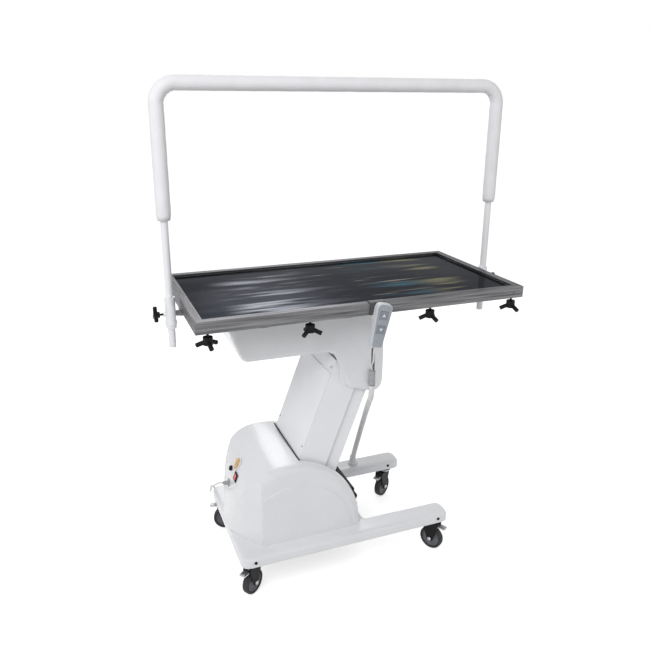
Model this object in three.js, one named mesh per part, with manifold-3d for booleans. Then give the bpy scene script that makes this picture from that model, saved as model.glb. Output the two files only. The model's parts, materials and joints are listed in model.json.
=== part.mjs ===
// Veterinary exam table: a stainless tray on a parallelogram lift arm, over a U-shaped base on casters.
// Millimetres, +X along the tray, +Y away from the handset side, +Z up, floor at z = 0.
import * as THREE from 'three';
import { mergeVertices } from 'three/addons/utils/BufferGeometryUtils.js';
import Module from 'manifold-3d';

const wasm = await Module();
wasm.setup();

// Clearances
const GAP = 0.3;
const PIN_GAP = 0.3;

// Tray: a folded stainless pan with a flat rim
const TRAY_LENGTH = 1200;
const TRAY_WIDTH = 610;
const TRAY_TOP = 1115;
const RIM_HEIGHT = 41;
const RIM_WIDTH = 28;
const TRAY_RECESS = 9;
const TRAY_SHEET = 1.5;

// Tubular frame under the tray
const TOP_BAR = 25;
const TOP_BAR_HEIGHT = 26;
const CROSSBAR_X = [-380, -90, 40];
const CROSSBAR_DROP = 6;

// Tie knobs under the two long rims
const KNOB_X = [-560, -223, 223, 560];
const KNOB_REACH = 31;
const KNOB_ARM_RADIUS = 8;
const KNOB_VALLEY = 11;
const KNOB_THICKNESS = 13;
const KNOB_HUB_RADIUS = 11;
const KNOB_HUB_LENGTH = 21;
const KNOB_DROP = 13;
const KNOB_TURN = [35, 95, 42, 38];
const WING_REACH = 45;
const WING_ARM_RADIUS = 7.5;
const WING_HUB_RADIUS = 16;
const WING_HUB_LENGTH = 26;
const WING_DROOP = 17;
const SCREW_RADIUS = 4;
const SCREW_GRIP = 16;

// Gantry, its foam sleeve and the two sockets that hold it
const POST_X = 628;
const POST_RADIUS = 12.5;
const POST_BOTTOM = 933;
const GANTRY_TOP = 1805;
const GANTRY_BEND = 66;
const FOAM_RADIUS = 24;
const FOAM_END = 1377;
const STOP_PIN_RADIUS = 4;
const STOP_PIN_LENGTH = 38;
const SOCKET_RADIUS = 18;
const SOCKET_BELOW = 51;
const SOCKET_ABOVE = 60;
const SOCKET_COLLAR = 2.5;
const SOCKET_COLLAR_HEIGHT = 12;
const CLAMP_DROP = 61;
const CLAMP_BOSS_RADIUS = 9;
const CLAMP_BOSS_LENGTH = 7;
const CLAMP_STANDOFF = 12;
const SOCKET_BAR = 16;

// Base: moulded U-shaped shell on a steel frame
const CASTER_HEIGHT = 139;
const BASE_HEIGHT = 40;
const BASE_LEFT = 472;
const BASE_RIGHT = 383;
const BASE_WIDTH = 528;
const LEG_WIDTH = 90;
const NOTCH_X = 45;
const BASE_WALL = 4;
const BASE_EDGE = 15;
const BASE_CORNER_EXTRA = 20;
const RAIL_WIDTH = 32;
const RAIL_INSET = 30;
const CROSS_WIDTH = 30;
const INNER_BAR = 20;

// Casters
const CASTER_END_INSET = 61;
const CASTER_SIDE_INSET = 58;
const CASTER_TRAIL = 20;
const TRAIL_ANGLE = { near_left: 218, near_right: 301, far_right: 215, far_left: 165 };
const WHEEL_RADIUS = 48;
const WHEEL_WIDTH = 28;
const WHEEL_DISC = 15;
const HUB_RADIUS = 14;
const TYRE_DEPTH = 12;
const AXLE_RADIUS = 5;
const FORK_PLATE = 3;
const FORK_GAP = 1;
const FORK_HEAD_RADIUS = 26;
const FORK_HEAD_HEIGHT = 16;
const STEM_RADIUS = 8;
const STEM_LENGTH = 20;
const PEDAL_PIVOT_X = 42;
const PEDAL_PIVOT_Z = 108;
const PEDAL_HUB = 6;
const PEDAL_LENGTH = 40;
const PEDAL_THICKNESS = 5;

// Parallelogram lift: arm, parallel link and their pins
const ARM_PIVOT_X = -245;
const ARM_PIVOT_Z = 225;
const ARM_LENGTH = 614;
const ARM_LEAN = 20.5;
const LIFT_SWING = 55;
const ARM_WIDTH = 300;
const ARM_FRONT = 59;
const ARM_BACK = 52;
const ARM_WALL = 4;
const ARM_TAIL = 35;
const ARM_HEAD = 40;
const ARM_TUBE_RADIUS = 20;
const ARM_PIN_RADIUS = 12;
const COVER_THICKNESS = 3;
const COVER_BORDER = 4;
const COVER_START = 70;
const COVER_END = 600;
const LINK_OFFSET_X = 65;
const LINK_OFFSET_Z = -48;
const LINK_WIDTH = 62;
const LINK_BAR = 24;
const LINK_SIDE_GAP = 6;
const LINK_WEB_START = 75;
const LINK_WEB_END = 540;
const LINK_PIN_RADIUS = 9;
const BRACKET_PLATE = 6;
const BRACKET_GAP = 2.5;
const BRACKET_FLOOR = 4;
const BRACKET_EYE = 30;
const LINK_EYE = 20;

// Actuator that turns the crank below the lower arm pin
const CRANK_RADIUS = 64;
const CRANK_THICKNESS = 20;
const CRANK_EYE = 13;
const CRANK_PIN_RADIUS = 7;
const CLEVIS_CHEEK = 10;
const CLEVIS_HALF_HEIGHT = 17;
const CLEVIS_NOSE = 14;
const CLEVIS_BACK = 44;
const CLEVIS_BRIDGE = 14;
const SLOT_PLAY = 0.5;
const ROD_RADIUS = 8;
const ROD_TAIL = 25;
const ACTUATOR_RADIUS = 18;
const ACTUATOR_NOSE_GAP = 2;
const GEARBOX_LENGTH = 46;
const GEARBOX_WIDTH = 48;
const MOTOR_RADIUS = 20;
const MOTOR_HEIGHT = 85;

// Motor cover: an arched dome with a slot for the arm and a faceted nose
const DOME_CENTRE_X = -270;
const DOME_RADIUS = 308;
const DOME_REACH = 292;
const DOME_WIDTH = 406;
const DOME_EDGE = 26;
const DOME_WALL = 4;
const NOSE_FOOT_X = -470;
const NOSE_KNEE_X = -451;
const NOSE_KNEE_RISE = 121;
const NOSE_CROWN_X = -425;
const NOSE_CROWN_RISE = 293;
const NOSE_ARC_START = 97;
const FACET_FRONT_X = -381;
const FACET_MID_X = -431;
const FACET_MID_Y = 138;
const FACET_NOSE_Y = 58;
const DOME_SLOT_GAP = 10;
const ROOF_GAP = 6;
const CHEEK_WALL = 3;
const CHEEK_DISC_RADIUS = 226;
const CHEEK_DISC_X = -252;
const CHEEK_DISC_PROUD = 4;

// Fittings on the nose, placed by their share of the curve above the knee and by their y
const LAMP_AT = 0.42;
const LAMP_Y = 8;
const LAMP_RADIUS = 23;
const LAMP_RING = 4;
const LAMP_BARREL_RADIUS = 14;
const FUSE_AT = 0.27;
const FUSE_Y = 42;
const FUSE_RADIUS = 10;
const FUSE_BARREL_RADIUS = 7;
const ROCKER_AT = 0.27;
const ROCKER_Y = -26;
const ROCKER_LENGTH = 26;
const ROCKER_WIDTH = 20;
const BEZEL_BORDER = 3.5;
const GLAND_AT = 0.08;
const GLAND_Y = 30;
const GLAND_SIZE = 24;
const GLAND_NOSE = 22;
const GLAND_LEAD = 13;
const FLANGE_THICKNESS = 3;
const FITTING_DEPTH = 22;

// Boxed controls inside the dome
const CONTROL_LENGTH = 84;
const CONTROL_WIDTH = 105;
const CONTROL_HEIGHT = 80;
const CONTROL_X = -424;
const CONTROL_Y = 36;

// Under-housing: boat-shaped cover of the upper pivots
const HOUSING_TOP_X = -485;
const HOUSING_BOW_X = -418;
const HOUSING_BOW_Z = 898;
const HOUSING_STEP_X = -92;
const HOUSING_STEP_Z = 895;
const LOBE_LEFT_X = -33;
const LOBE_LEFT_Z = 747;
const LOBE_RIGHT_X = 154;
const LOBE_RIGHT_Z = 688;
const HOUSING_WIDTH = 330;
const HOUSING_EDGE = 18;
const HOUSING_WALL = 4;
const HOUSING_CREASE_X = 58;
const HOUSING_NOSE_Y = 75;
const HOUSING_RADIUS = 34;

// Handset on a hanger at the near rim
const HANDSET_X = 14;
const HANDSET_Z = 1040;
const HANDSET_TILT = 12;
const HANDSET_LENGTH = 156;
const HANDSET_TOP_WIDTH = 62;
const HANDSET_END_WIDTH = 43;
const HANDSET_DEPTH = 26;
const HANDSET_EDGE = 4;
const HANDSET_WALL = 4;
const FACE_THICKNESS = 5;
const FACE_PROUD = 1.5;
const BUTTON_WIDTH = 30;
const BUTTON_HEIGHT = 28;
const BUTTON_DEPTH = 8;
const BUTTON_PROUD = 1.5;
const BUTTON_GAP = 0.4;
const BUTTON_UP_Z = 38;
const BUTTON_DOWN_Z = -12;
const HANGER_PLATE = 3;
const HANGER_WIDTH = 54;
const HANGER_SHIFT = -12;
const HANGER_LIP = 22;
const PEG_RADIUS = 5;
const PEG_AT = 44;
const PEG_LENGTH = 9;
const HANDSET_LIFT = 30;

// Cords: handset lead, conduit to the base, mains lead with its coil and plug
const LEAD_RADIUS = 3;
const LEAD_POINTS = [[-3, -322, 962], [-4, -322, 945], [6, -300, 915], [26, -255, 880], [46, -205, 848],
  [57, -180, 826],
  [60, -176.5, 811]];
const CONDUIT_RADIUS = 11;
const CONDUIT_COLLAR_RADIUS = 12.5;
const CONDUIT_COLLAR_LENGTH = 58;
const CONDUIT_BOOT_RADIUS = 22;
const CONDUIT_BOOT_HEIGHT = 40;
const CONDUIT_POINTS = [[60, -178, 810], [60, -178, 752], [64, -168, 706], [76, -125, 655],
  [96, -62, 590], [118, 5, 520],
  [138, 74, 438], [155, 140, 350], [164, 190, 268], [166, 214, 215], [166, 218, 190]];
const MAINS_RADIUS = 3.5;
const MAINS_POINTS = [
  [-502, 38, 323], [-510, 60, 302], [-506, 100, 264], [-498, 150, 228], [-487, 205, 200], [-475, 252, 186],
  [-459, 286, 160], [-447, 304, 116], [-437, 315, 68], [-420, 321, 28], [-392, 322, 8], [-358, 317, 4],
  [-322, 300, 4], [-291, 262, 4], [-266, 216, 4], [-242, 189, 4], [-216, 180, 4], [-195, 180, 4]];
const COIL_MID_RADIUS = 38.5;
const COIL_TURNS = 5;
const COIL_PITCH = 7.7;
const COIL_LIFT = 0.5;
const LOOP_STEPS = 24;
const COIL_TAIL = 45;
const PLUG_LENGTH = 46;
const PLUG_WIDTH = 34;
const PLUG_PIN_LENGTH = 19;
const PLUG_PIN_RADIUS = 2.4;
const PLUG_PIN_SPACING = 19;

// Slot bellows between the parallel link and the base
const BELLOWS_PLEATS = 6;
const BELLOWS_BULGE = 20;
const BELLOWS_DEPTH = 8;
const BELLOWS_SHEET = 4;
const BELLOWS_SIDE_GAP = 3;

// Facets on round pieces
const ROUND = 16;
const SMALL = 12;
const EDGE_STEPS = 2;
const KNOB_STEPS = 2;
const TUBE_SIDES = 12;
const CORNER_STEPS = 4;
const SAME_POINT = 0.01;

const radians = THREE.MathUtils.degToRad;
const table = new THREE.Group();

// Geometry helpers

function toSolid(geometry) {
  const bare = geometry.clone();
  bare.deleteAttribute('normal');
  bare.deleteAttribute('uv');
  const merged = mergeVertices(bare);
  const index = merged.index.array;
  const kept = [];
  for (let i = 0; i < index.length; i += 3) {
    const [a, b, c] = index.slice(i, i + 3);
    if (a !== b && b !== c && c !== a) kept.push(a, b, c);
  }
  const vertProperties = new Float32Array(merged.attributes.position.array);
  return new wasm.Manifold(new wasm.Mesh({ numProp: 3, vertProperties, triVerts: new Uint32Array(kept) }));
}

function toGeometry(solid) {
  const { vertProperties, triVerts } = solid.getMesh();
  const geometry = new THREE.BufferGeometry();
  geometry.setAttribute('position', new THREE.BufferAttribute(vertProperties, 3));
  geometry.setIndex(new THREE.BufferAttribute(triVerts, 1));
  geometry.computeVertexNormals();
  return geometry;
}

function piece(parent, name, solid, material) {
  const mesh = new THREE.Mesh(toGeometry(solid), material.clone());
  mesh.name = name;
  parent.add(mesh);
  return mesh;
}

function group(parent, x, y, z) {
  const child = new THREE.Group();
  child.position.set(x, y, z);
  parent.add(child);
  return child;
}

const joined = (...solids) => solids.reduce((sum, next) => sum.add(next));
const cut = (solid, ...tools) => tools.reduce((rest, tool) => rest.subtract(tool), solid);

function box(x0, x1, y0, y1, z0, z1) {
  const geometry = new THREE.BoxGeometry(x1 - x0, y1 - y0, z1 - z0);
  return toSolid(geometry.translate((x0 + x1) / 2, (y0 + y1) / 2, (z0 + z1) / 2));
}

// A round bar between two points
function bar(radius, from, to, sides = ROUND) {
  const start = new THREE.Vector3(...from);
  const run = new THREE.Vector3(...to).sub(start);
  const geometry = new THREE.CylinderGeometry(radius, radius, run.length(), sides);
  const turn = new THREE.Quaternion().setFromUnitVectors(new THREE.Vector3(0, 1, 0),
    run.clone().normalize());
  geometry.applyQuaternion(turn).translate(...start.addScaledVector(run, 0.5).toArray());
  return toSolid(geometry);
}

const barAcross = (radius, x, z, half, sides) => bar(radius, [x, -half, z], [x, half, z], sides);

// A closed outline through corners [x, y, radius], each corner rounded by its radius
function outline(corners) {
  const shape = new THREE.Shape();
  corners.forEach(([x, y, radius = 0], i) => {
    const corner = new THREE.Vector2(x, y);
    const before = new THREE.Vector2(...corners.at(i - 1)).sub(corner);
    const after = new THREE.Vector2(...corners[(i + 1) % corners.length]).sub(corner);
    const opening = Math.acos(before.dot(after) / (before.length() * after.length()));
    const reach = radius / Math.tan(opening / 2);
    const start = before.setLength(reach).add(corner);
    const end = after.setLength(reach).add(corner);
    if (i === 0) shape.moveTo(start.x, start.y);
    else shape.lineTo(start.x, start.y);
    if (radius > 0) shape.quadraticCurveTo(x, y, end.x, end.y);
  });
  shape.closePath();
  return shape;
}

// The same corners, running anticlockwise, with every side moved inwards
function inset(corners, depth) {
  return corners.map(([x, y, radius = 0], i) => {
    const corner = new THREE.Vector2(x, y);
    const a = corner.clone().sub(new THREE.Vector2(...corners.at(i - 1))).normalize();
    const b = new THREE.Vector2(...corners[(i + 1) % corners.length]).sub(corner).normalize();
    const scale = depth / (1 + a.dot(b));
    const rounder = radius - Math.sign(a.cross(b)) * depth;
    return [x - (a.y + b.y) * scale, y + (a.x + b.x) * scale, radius > 0 ? Math.max(rounder, 0) : 0];
  });
}

// The outline's points without those that repeat the one before
function distinct(shape, steps) {
  const points = shape.getPoints(steps);
  return new THREE.Shape(points.filter((point, i) => point.distanceTo(points.at(i - 1)) > SAME_POINT));
}

function extruded(shape, length, edge, steps = CORNER_STEPS, edgeSteps = EDGE_STEPS) {
  return new THREE.ExtrudeGeometry(distinct(shape, steps), {
    depth: length - 2 * edge,
    bevelEnabled: edge > 0,
    bevelThickness: edge,
    bevelSize: edge,
    bevelOffset: -edge,
    bevelSegments: edgeSteps,
    curveSegments: steps,
  }).translate(0, 0, edge);
}

// An XY outline raised from z0 to z1, and an XZ outline spread across y from y0 to y1
const raised = (shape, z0, z1, edge = 0, steps, edgeSteps) => toSolid(
  extruded(shape, z1 - z0, edge, steps, edgeSteps).translate(0, 0, z0));
const across = (shape, y0, y1, edge = 0, steps) => toSolid(
  extruded(shape, y1 - y0, edge, steps).rotateX(Math.PI / 2).translate(0, y1, 0));

// A round section carried along points; reference lies square to the path's general plane
function tube(points, radius, sides, reference, bore = 0) {
  const positions = [];
  const index = [];
  const rings = bore > 0 ? [radius, bore] : [radius];
  const last = points.length - 1;
  points.forEach((point, i) => {
    const ahead = points[Math.min(i + 1, last)].clone().sub(point).normalize();
    const behind = point.clone().sub(points[Math.max(i - 1, 0)]).normalize();
    const side = reference.clone().cross(ahead.clone().add(behind)).normalize();
    const along = side.clone().cross(reference).normalize();
    const stretch = i > 0 && i < last ? 1 / Math.sqrt((1 + ahead.dot(behind)) / 2) : 1;
    const up = along.cross(side).normalize();
    rings.forEach((ring) => {
      for (let k = 0; k < sides; k += 1) {
        const angle = (2 * Math.PI * k) / sides;
        const spot = point.clone().addScaledVector(side, ring * stretch * Math.cos(angle));
        positions.push(...spot.addScaledVector(up, ring * Math.sin(angle)).toArray());
      }
    });
  });
  const stride = sides * rings.length;
  const quad = (a, b, c, d) => index.push(a, b, c, a, c, d);
  for (let i = 0; i < last; i += 1) {
    for (let k = 0; k < sides; k += 1) {
      const near = i * stride + k;
      const next = i * stride + ((k + 1) % sides);
      quad(near, next, next + stride, near + stride);
      if (bore > 0) quad(next + sides, near + sides, near + sides + stride, next + sides + stride);
    }
  }
  const end = last * stride;
  for (let k = 0; k < sides; k += 1) {
    const next = (k + 1) % sides;
    if (bore > 0) {
      quad(k, k + sides, next + sides, next);
      quad(end + next, end + next + sides, end + k + sides, end + k);
    } else if (k > 0 && next > 0) {
      index.push(0, next, k, end, end + k, end + next);
    }
  }
  const geometry = new THREE.BufferGeometry();
  geometry.setAttribute('position', new THREE.Float32BufferAttribute(positions, 3));
  geometry.setIndex(index);
  return toSolid(geometry);
}

// A plain cord of round section through chosen points
function cord(points, radius, sides, steps) {
  const section = new THREE.Shape();
  section.absarc(0, 0, radius, 0, 2 * Math.PI, false);
  const extrudePath = new THREE.CatmullRomCurve3(points.map((point) => new THREE.Vector3(...point)));
  return toSolid(new THREE.ExtrudeGeometry(section, { steps, extrudePath, curveSegments: sides / 2 }));
}

function turned(profile, sides) {
  const points = profile.map(([radius, height]) => new THREE.Vector2(radius, height));
  return new THREE.LatheGeometry(points, sides);
}

function finish(color, roughness, metalness = 0) {
  return new THREE.MeshStandardMaterial({ color, roughness, metalness });
}

const whitePaint = finish(0xe9ebef, 0.3);
const whiteShell = finish(0xe6e7eb, 0.35);
const stainless = finish(0x8f9296, 0.22, 1);
const steel = finish(0x6f7276, 0.45, 1);
const zinc = finish(0xa9acb0, 0.35, 1);
const blackPlastic = finish(0x17171a, 0.5);
const blackRubber = finish(0x1c1c1e, 0.8);
const greyPlastic = finish(0xa9acb0, 0.5);
const foamWhite = finish(0xe8e6ee, 0.85);

// Levels and pivots worked out from the driving sizes
const baseTop = CASTER_HEIGHT + BASE_HEIGHT;
const casterX = [-BASE_LEFT + CASTER_END_INSET, BASE_RIGHT - CASTER_END_INSET];
const casterY = BASE_WIDTH / 2 - CASTER_SIDE_INSET;
const clampHeight = TRAY_TOP - CLAMP_DROP;
const socketBottom = clampHeight - SOCKET_BELOW;
const socketTop = clampHeight + SOCKET_ABOVE;
const lean = radians(ARM_LEAN);
const lowerArm = { x: ARM_PIVOT_X, z: ARM_PIVOT_Z };
const upperArm = { x: lowerArm.x + ARM_LENGTH * Math.sin(lean),
  z: lowerArm.z + ARM_LENGTH * Math.cos(lean) };
const lowerLink = { x: lowerArm.x + LINK_OFFSET_X, z: lowerArm.z + LINK_OFFSET_Z };
const upperLink = { x: upperArm.x + LINK_OFFSET_X, z: upperArm.z + LINK_OFFSET_Z };
const armHalf = ARM_WIDTH / 2;
const plateInner = armHalf + BRACKET_GAP;
const plateOuter = plateInner + BRACKET_PLATE;
const rimBottom = TRAY_TOP - RIM_HEIGHT;
const sheetBottom = TRAY_TOP - TRAY_RECESS - TRAY_SHEET;
const frameTop = sheetBottom - GAP;
const frameBottom = frameTop - TOP_BAR_HEIGHT;
const crossbarBottom = frameBottom - CROSSBAR_DROP;
const housingTop = crossbarBottom - GAP;

// Tray and top frame

function makeTray() {
  const x = TRAY_LENGTH / 2;
  const y = TRAY_WIDTH / 2;
  const well = { x: x - RIM_WIDTH, y: y - RIM_WIDTH };
  const core = { x: well.x + TRAY_SHEET, y: well.y + TRAY_SHEET };
  const under = box(-x + TRAY_SHEET, x - TRAY_SHEET, -y + TRAY_SHEET, y - TRAY_SHEET, rimBottom - 1,
    TRAY_TOP - TRAY_SHEET);
  const kept = box(-core.x, core.x, -core.y, core.y, sheetBottom, TRAY_TOP);
  const recess = box(-well.x, well.x, -well.y, well.y, TRAY_TOP - TRAY_RECESS, TRAY_TOP + 1);
  const pan = cut(box(-x, x, -y, y, rimBottom, TRAY_TOP), cut(under, kept), recess);
  piece(table, 'tray', pan, stainless);
}

const railY = TRAY_WIDTH / 2 - TRAY_SHEET - GAP - TOP_BAR / 2;

function makeTopFrame() {
  const x = TRAY_LENGTH / 2 - TRAY_SHEET - GAP;
  const y = TRAY_WIDTH / 2 - TRAY_SHEET - GAP;
  const ring = cut(
    box(-x, x, -y, y, frameBottom, frameTop),
    box(-x + TOP_BAR, x - TOP_BAR, -y + TOP_BAR, y - TOP_BAR, frameBottom - 1, frameTop + 1));
  const bars = CROSSBAR_X.map((bx) => box(bx - TOP_BAR / 2, bx + TOP_BAR / 2, -y, y, crossbarBottom,
    frameTop));
  const barLow = clampHeight - SOCKET_BAR / 2;
  const barHigh = clampHeight + SOCKET_BAR / 2;
  const barEnd = POST_X - SOCKET_RADIUS - GAP;
  const arms = [-1, 1].flatMap((side) => {
    const [from, to] = [side * (x - TOP_BAR), side * barEnd].sort((a, b) => a - b);
    const [dropFrom, dropTo] = [side * (x - TOP_BAR), side * x].sort((a, b) => a - b);
    return [
      box(from, to, -SOCKET_BAR / 2, SOCKET_BAR / 2, barLow, barHigh),
      box(dropFrom, dropTo, -TOP_BAR / 2, TOP_BAR / 2, barLow, frameBottom + 1)];
  });
  const holes = KNOB_X.flatMap((kx) => [-railY, railY].map((ky) => bar(
    SCREW_RADIUS + PIN_GAP, [kx, ky, frameBottom - 1], [kx, ky, frameBottom + SCREW_GRIP + 1], SMALL)));
  piece(table, 'top_frame', cut(joined(ring, ...bars, ...arms), ...holes), steel);
}

// A three-armed star knob on a screw: knob below z = 0, screw up to +length, turning about z
function starKnob(screwLength) {
  const shape = new THREE.Shape();
  const throat = KNOB_REACH - KNOB_ARM_RADIUS;
  for (let arm = 0; arm < 3; arm += 1) {
    const angle = (2 * Math.PI * arm) / 3;
    shape.absarc(throat * Math.cos(angle), throat * Math.sin(angle), KNOB_ARM_RADIUS,
      angle - Math.PI / 2, angle + Math.PI / 2, false);
    const valley = angle + Math.PI / 3;
    shape.lineTo(KNOB_VALLEY * Math.cos(valley), KNOB_VALLEY * Math.sin(valley));
  }
  const star = raised(shape, -KNOB_HUB_LENGTH, -KNOB_HUB_LENGTH + KNOB_THICKNESS, 2, KNOB_STEPS, 1);
  const hub = bar(KNOB_HUB_RADIUS, [0, 0, -KNOB_HUB_LENGTH + 1], [0, 0, 0], SMALL);
  const screw = bar(SCREW_RADIUS, [0, 0, -1], [0, 0, screwLength], SMALL);
  return joined(star, hub, screw);
}

// Knob of the long rims: a stout hub with three arms that slope down and away from the rim
function wingKnob(screwLength) {
  const hub = bar(WING_HUB_RADIUS, [0, 0, -WING_HUB_LENGTH], [0, 0, 0], SMALL);
  const reach = WING_REACH - WING_ARM_RADIUS;
  const middle = -WING_HUB_LENGTH / 2;
  const arms = [0, 1, 2].map((arm) => {
    const angle = (2 * Math.PI * arm) / 3;
    const tip = [reach * Math.cos(angle), reach * Math.sin(angle), middle - WING_DROOP];
    return bar(WING_ARM_RADIUS, [0, 0, middle], tip, SMALL);
  });
  const screw = bar(SCREW_RADIUS, [0, 0, -1], [0, 0, screwLength], SMALL);
  return joined(hub, screw, ...arms);
}

function makeTieKnobs() {
  const hubTop = rimBottom - KNOB_DROP;
  const screwLength = frameBottom + SCREW_GRIP - hubTop;
  const sides = { near: -railY, far: railY };
  Object.entries(sides).forEach(([side, y]) => {
    KNOB_X.forEach((x, i) => {
      const place = group(table, x, y, hubTop);
      place.rotation.z = radians(KNOB_TURN[i]);
      piece(place, `tie_knob_${side}_${i + 1}`, wingKnob(screwLength), blackPlastic);
    });
  });
}

// Gantry, foam and sockets

function gantryPath(bottom) {
  const points = [new THREE.Vector3(-POST_X, 0, bottom)];
  const steps = 7;
  for (const side of [-1, 1]) {
    for (let i = 0; i <= steps; i += 1) {
      const turn = (side < 0 ? i : steps - i) * (Math.PI / 2 / steps);
      const x = POST_X - GANTRY_BEND + GANTRY_BEND * Math.cos(turn);
      points.push(new THREE.Vector3(side * x, 0, GANTRY_TOP - GANTRY_BEND + GANTRY_BEND * Math.sin(turn)));
    }
  }
  points.push(new THREE.Vector3(POST_X, 0, bottom));
  return points;
}

function makeGantry() {
  const across = new THREE.Vector3(0, 1, 0);
  const pinZ = socketTop + GAP + STOP_PIN_RADIUS;
  const pins = [-POST_X, POST_X].map((x) => barAcross(STOP_PIN_RADIUS, x, pinZ, STOP_PIN_LENGTH / 2,
    SMALL));
  const pipe = tube(gantryPath(POST_BOTTOM), POST_RADIUS, TUBE_SIDES, across);
  piece(table, 'gantry_tube', joined(pipe, ...pins), whitePaint);
  piece(table, 'gantry_foam', tube(gantryPath(FOAM_END), FOAM_RADIUS, TUBE_SIDES, across,
    POST_RADIUS + GAP), foamWhite);
}

function makeSocket(name, side) {
  const place = group(table, side * POST_X, 0, 0);
  place.rotation.z = side < 0 ? Math.PI : 0;
  const collarTop = socketBottom + 2 * SOCKET_COLLAR_HEIGHT;
  const sleeve = joined(
    bar(SOCKET_RADIUS, [0, 0, socketBottom], [0, 0, socketTop]),
    bar(SOCKET_RADIUS + SOCKET_COLLAR, [0, 0, socketBottom + SOCKET_COLLAR_HEIGHT], [0, 0, collarTop]),
    bar(CLAMP_BOSS_RADIUS, [0, 0, clampHeight], [SOCKET_RADIUS + CLAMP_BOSS_LENGTH, 0, clampHeight],
      SMALL));
  const bore = bar(POST_RADIUS + PIN_GAP, [0, 0, socketBottom - 1], [0, 0, socketTop + 1], ROUND);
  const thread = bar(
    SCREW_RADIUS + PIN_GAP, [0, 0, clampHeight], [SOCKET_RADIUS + CLAMP_BOSS_LENGTH + 1, 0, clampHeight],
    SMALL);
  piece(place, `socket_${name}`, cut(sleeve, bore, thread), whitePaint);
  const hubX = SOCKET_RADIUS + CLAMP_BOSS_LENGTH + CLAMP_STANDOFF;
  const knob = group(place, hubX, 0, clampHeight);
  knob.rotation.y = -Math.PI / 2;
  piece(knob, `clamp_knob_${name}`, starKnob(hubX - POST_RADIUS - 2 * PIN_GAP), blackPlastic);
}

// Base

function basePlan() {
  const half = BASE_WIDTH / 2;
  const inner = half - LEG_WIDTH;
  const corner = BASE_EDGE + BASE_CORNER_EXTRA;
  return [
    [-BASE_LEFT, -half, corner], [BASE_RIGHT, -half, corner], [BASE_RIGHT, -inner, corner],
    [NOTCH_X, -inner, BASE_EDGE],
    [NOTCH_X, inner, BASE_EDGE], [BASE_RIGHT, inner, corner], [BASE_RIGHT, half, corner],
    [-BASE_LEFT, half, corner]];
}

const frameRail = { bottom: CASTER_HEIGHT + GAP, top: baseTop - BASE_WALL - GAP };
const leftMember = { from: -BASE_LEFT + RAIL_INSET, to: -BASE_LEFT + RAIL_INSET + CROSS_WIDTH };
const rightMember = { from: NOTCH_X - BASE_EDGE - GAP - CROSS_WIDTH, to: NOTCH_X - BASE_EDGE - GAP };
const actuatorHalf = Math.max(GEARBOX_WIDTH / 2, ACTUATOR_RADIUS, MOTOR_RADIUS) + 3;
const wellLeft = ARM_PIVOT_X - CRANK_RADIUS - ARM_TUBE_RADIUS;

function makeBase() {
  const outer = raised(outline(basePlan()), CASTER_HEIGHT - BASE_EDGE, baseTop, BASE_EDGE);
  const hollow = raised(outline(inset(basePlan(), BASE_WALL)), CASTER_HEIGHT - BASE_EDGE,
    baseTop - BASE_WALL,
    BASE_EDGE - BASE_WALL);
  const below = box(-BASE_LEFT - 1, BASE_RIGHT + 1, -BASE_WIDTH, BASE_WIDTH,
    CASTER_HEIGHT - BASE_EDGE - 1, CASTER_HEIGHT);
  const wellHalf = plateOuter + INNER_BAR;
  const well = box(wellLeft, rightMember.from, -wellHalf, wellHalf, CASTER_HEIGHT, baseTop + 1);
  const slot = box(leftMember.from, wellLeft + 1, -actuatorHalf, actuatorHalf, CASTER_HEIGHT, baseTop + 1);
  piece(table, 'base_shell', cut(outer, hollow, below, well, slot), whiteShell);

  const railOuter = casterY + RAIL_WIDTH / 2;
  const railRight = BASE_RIGHT - RAIL_INSET;
  const rail = (y0, y1, x1) => box(leftMember.from, x1, y0, y1, frameRail.bottom, frameRail.top);
  const member = ({ from, to }) => box(from, to, -railOuter, railOuter, frameRail.bottom, frameRail.top);
  const innerFrom = plateOuter + GAP;
  const frame = joined(
    rail(-railOuter, -railOuter + RAIL_WIDTH, railRight),
    rail(railOuter - RAIL_WIDTH, railOuter, railRight),
    rail(-innerFrom - INNER_BAR, -innerFrom, rightMember.to),
    rail(innerFrom, innerFrom + INNER_BAR, rightMember.to),
    member(leftMember), member(rightMember));
  const stems = casterX.flatMap((x) => [-casterY, casterY].map((y) => bar(
    STEM_RADIUS + PIN_GAP, [x, y, CASTER_HEIGHT - 1], [x, y, CASTER_HEIGHT + STEM_LENGTH + 1], SMALL)));
  piece(table, 'base_frame', cut(frame, ...stems), steel);
}

// Casters

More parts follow.
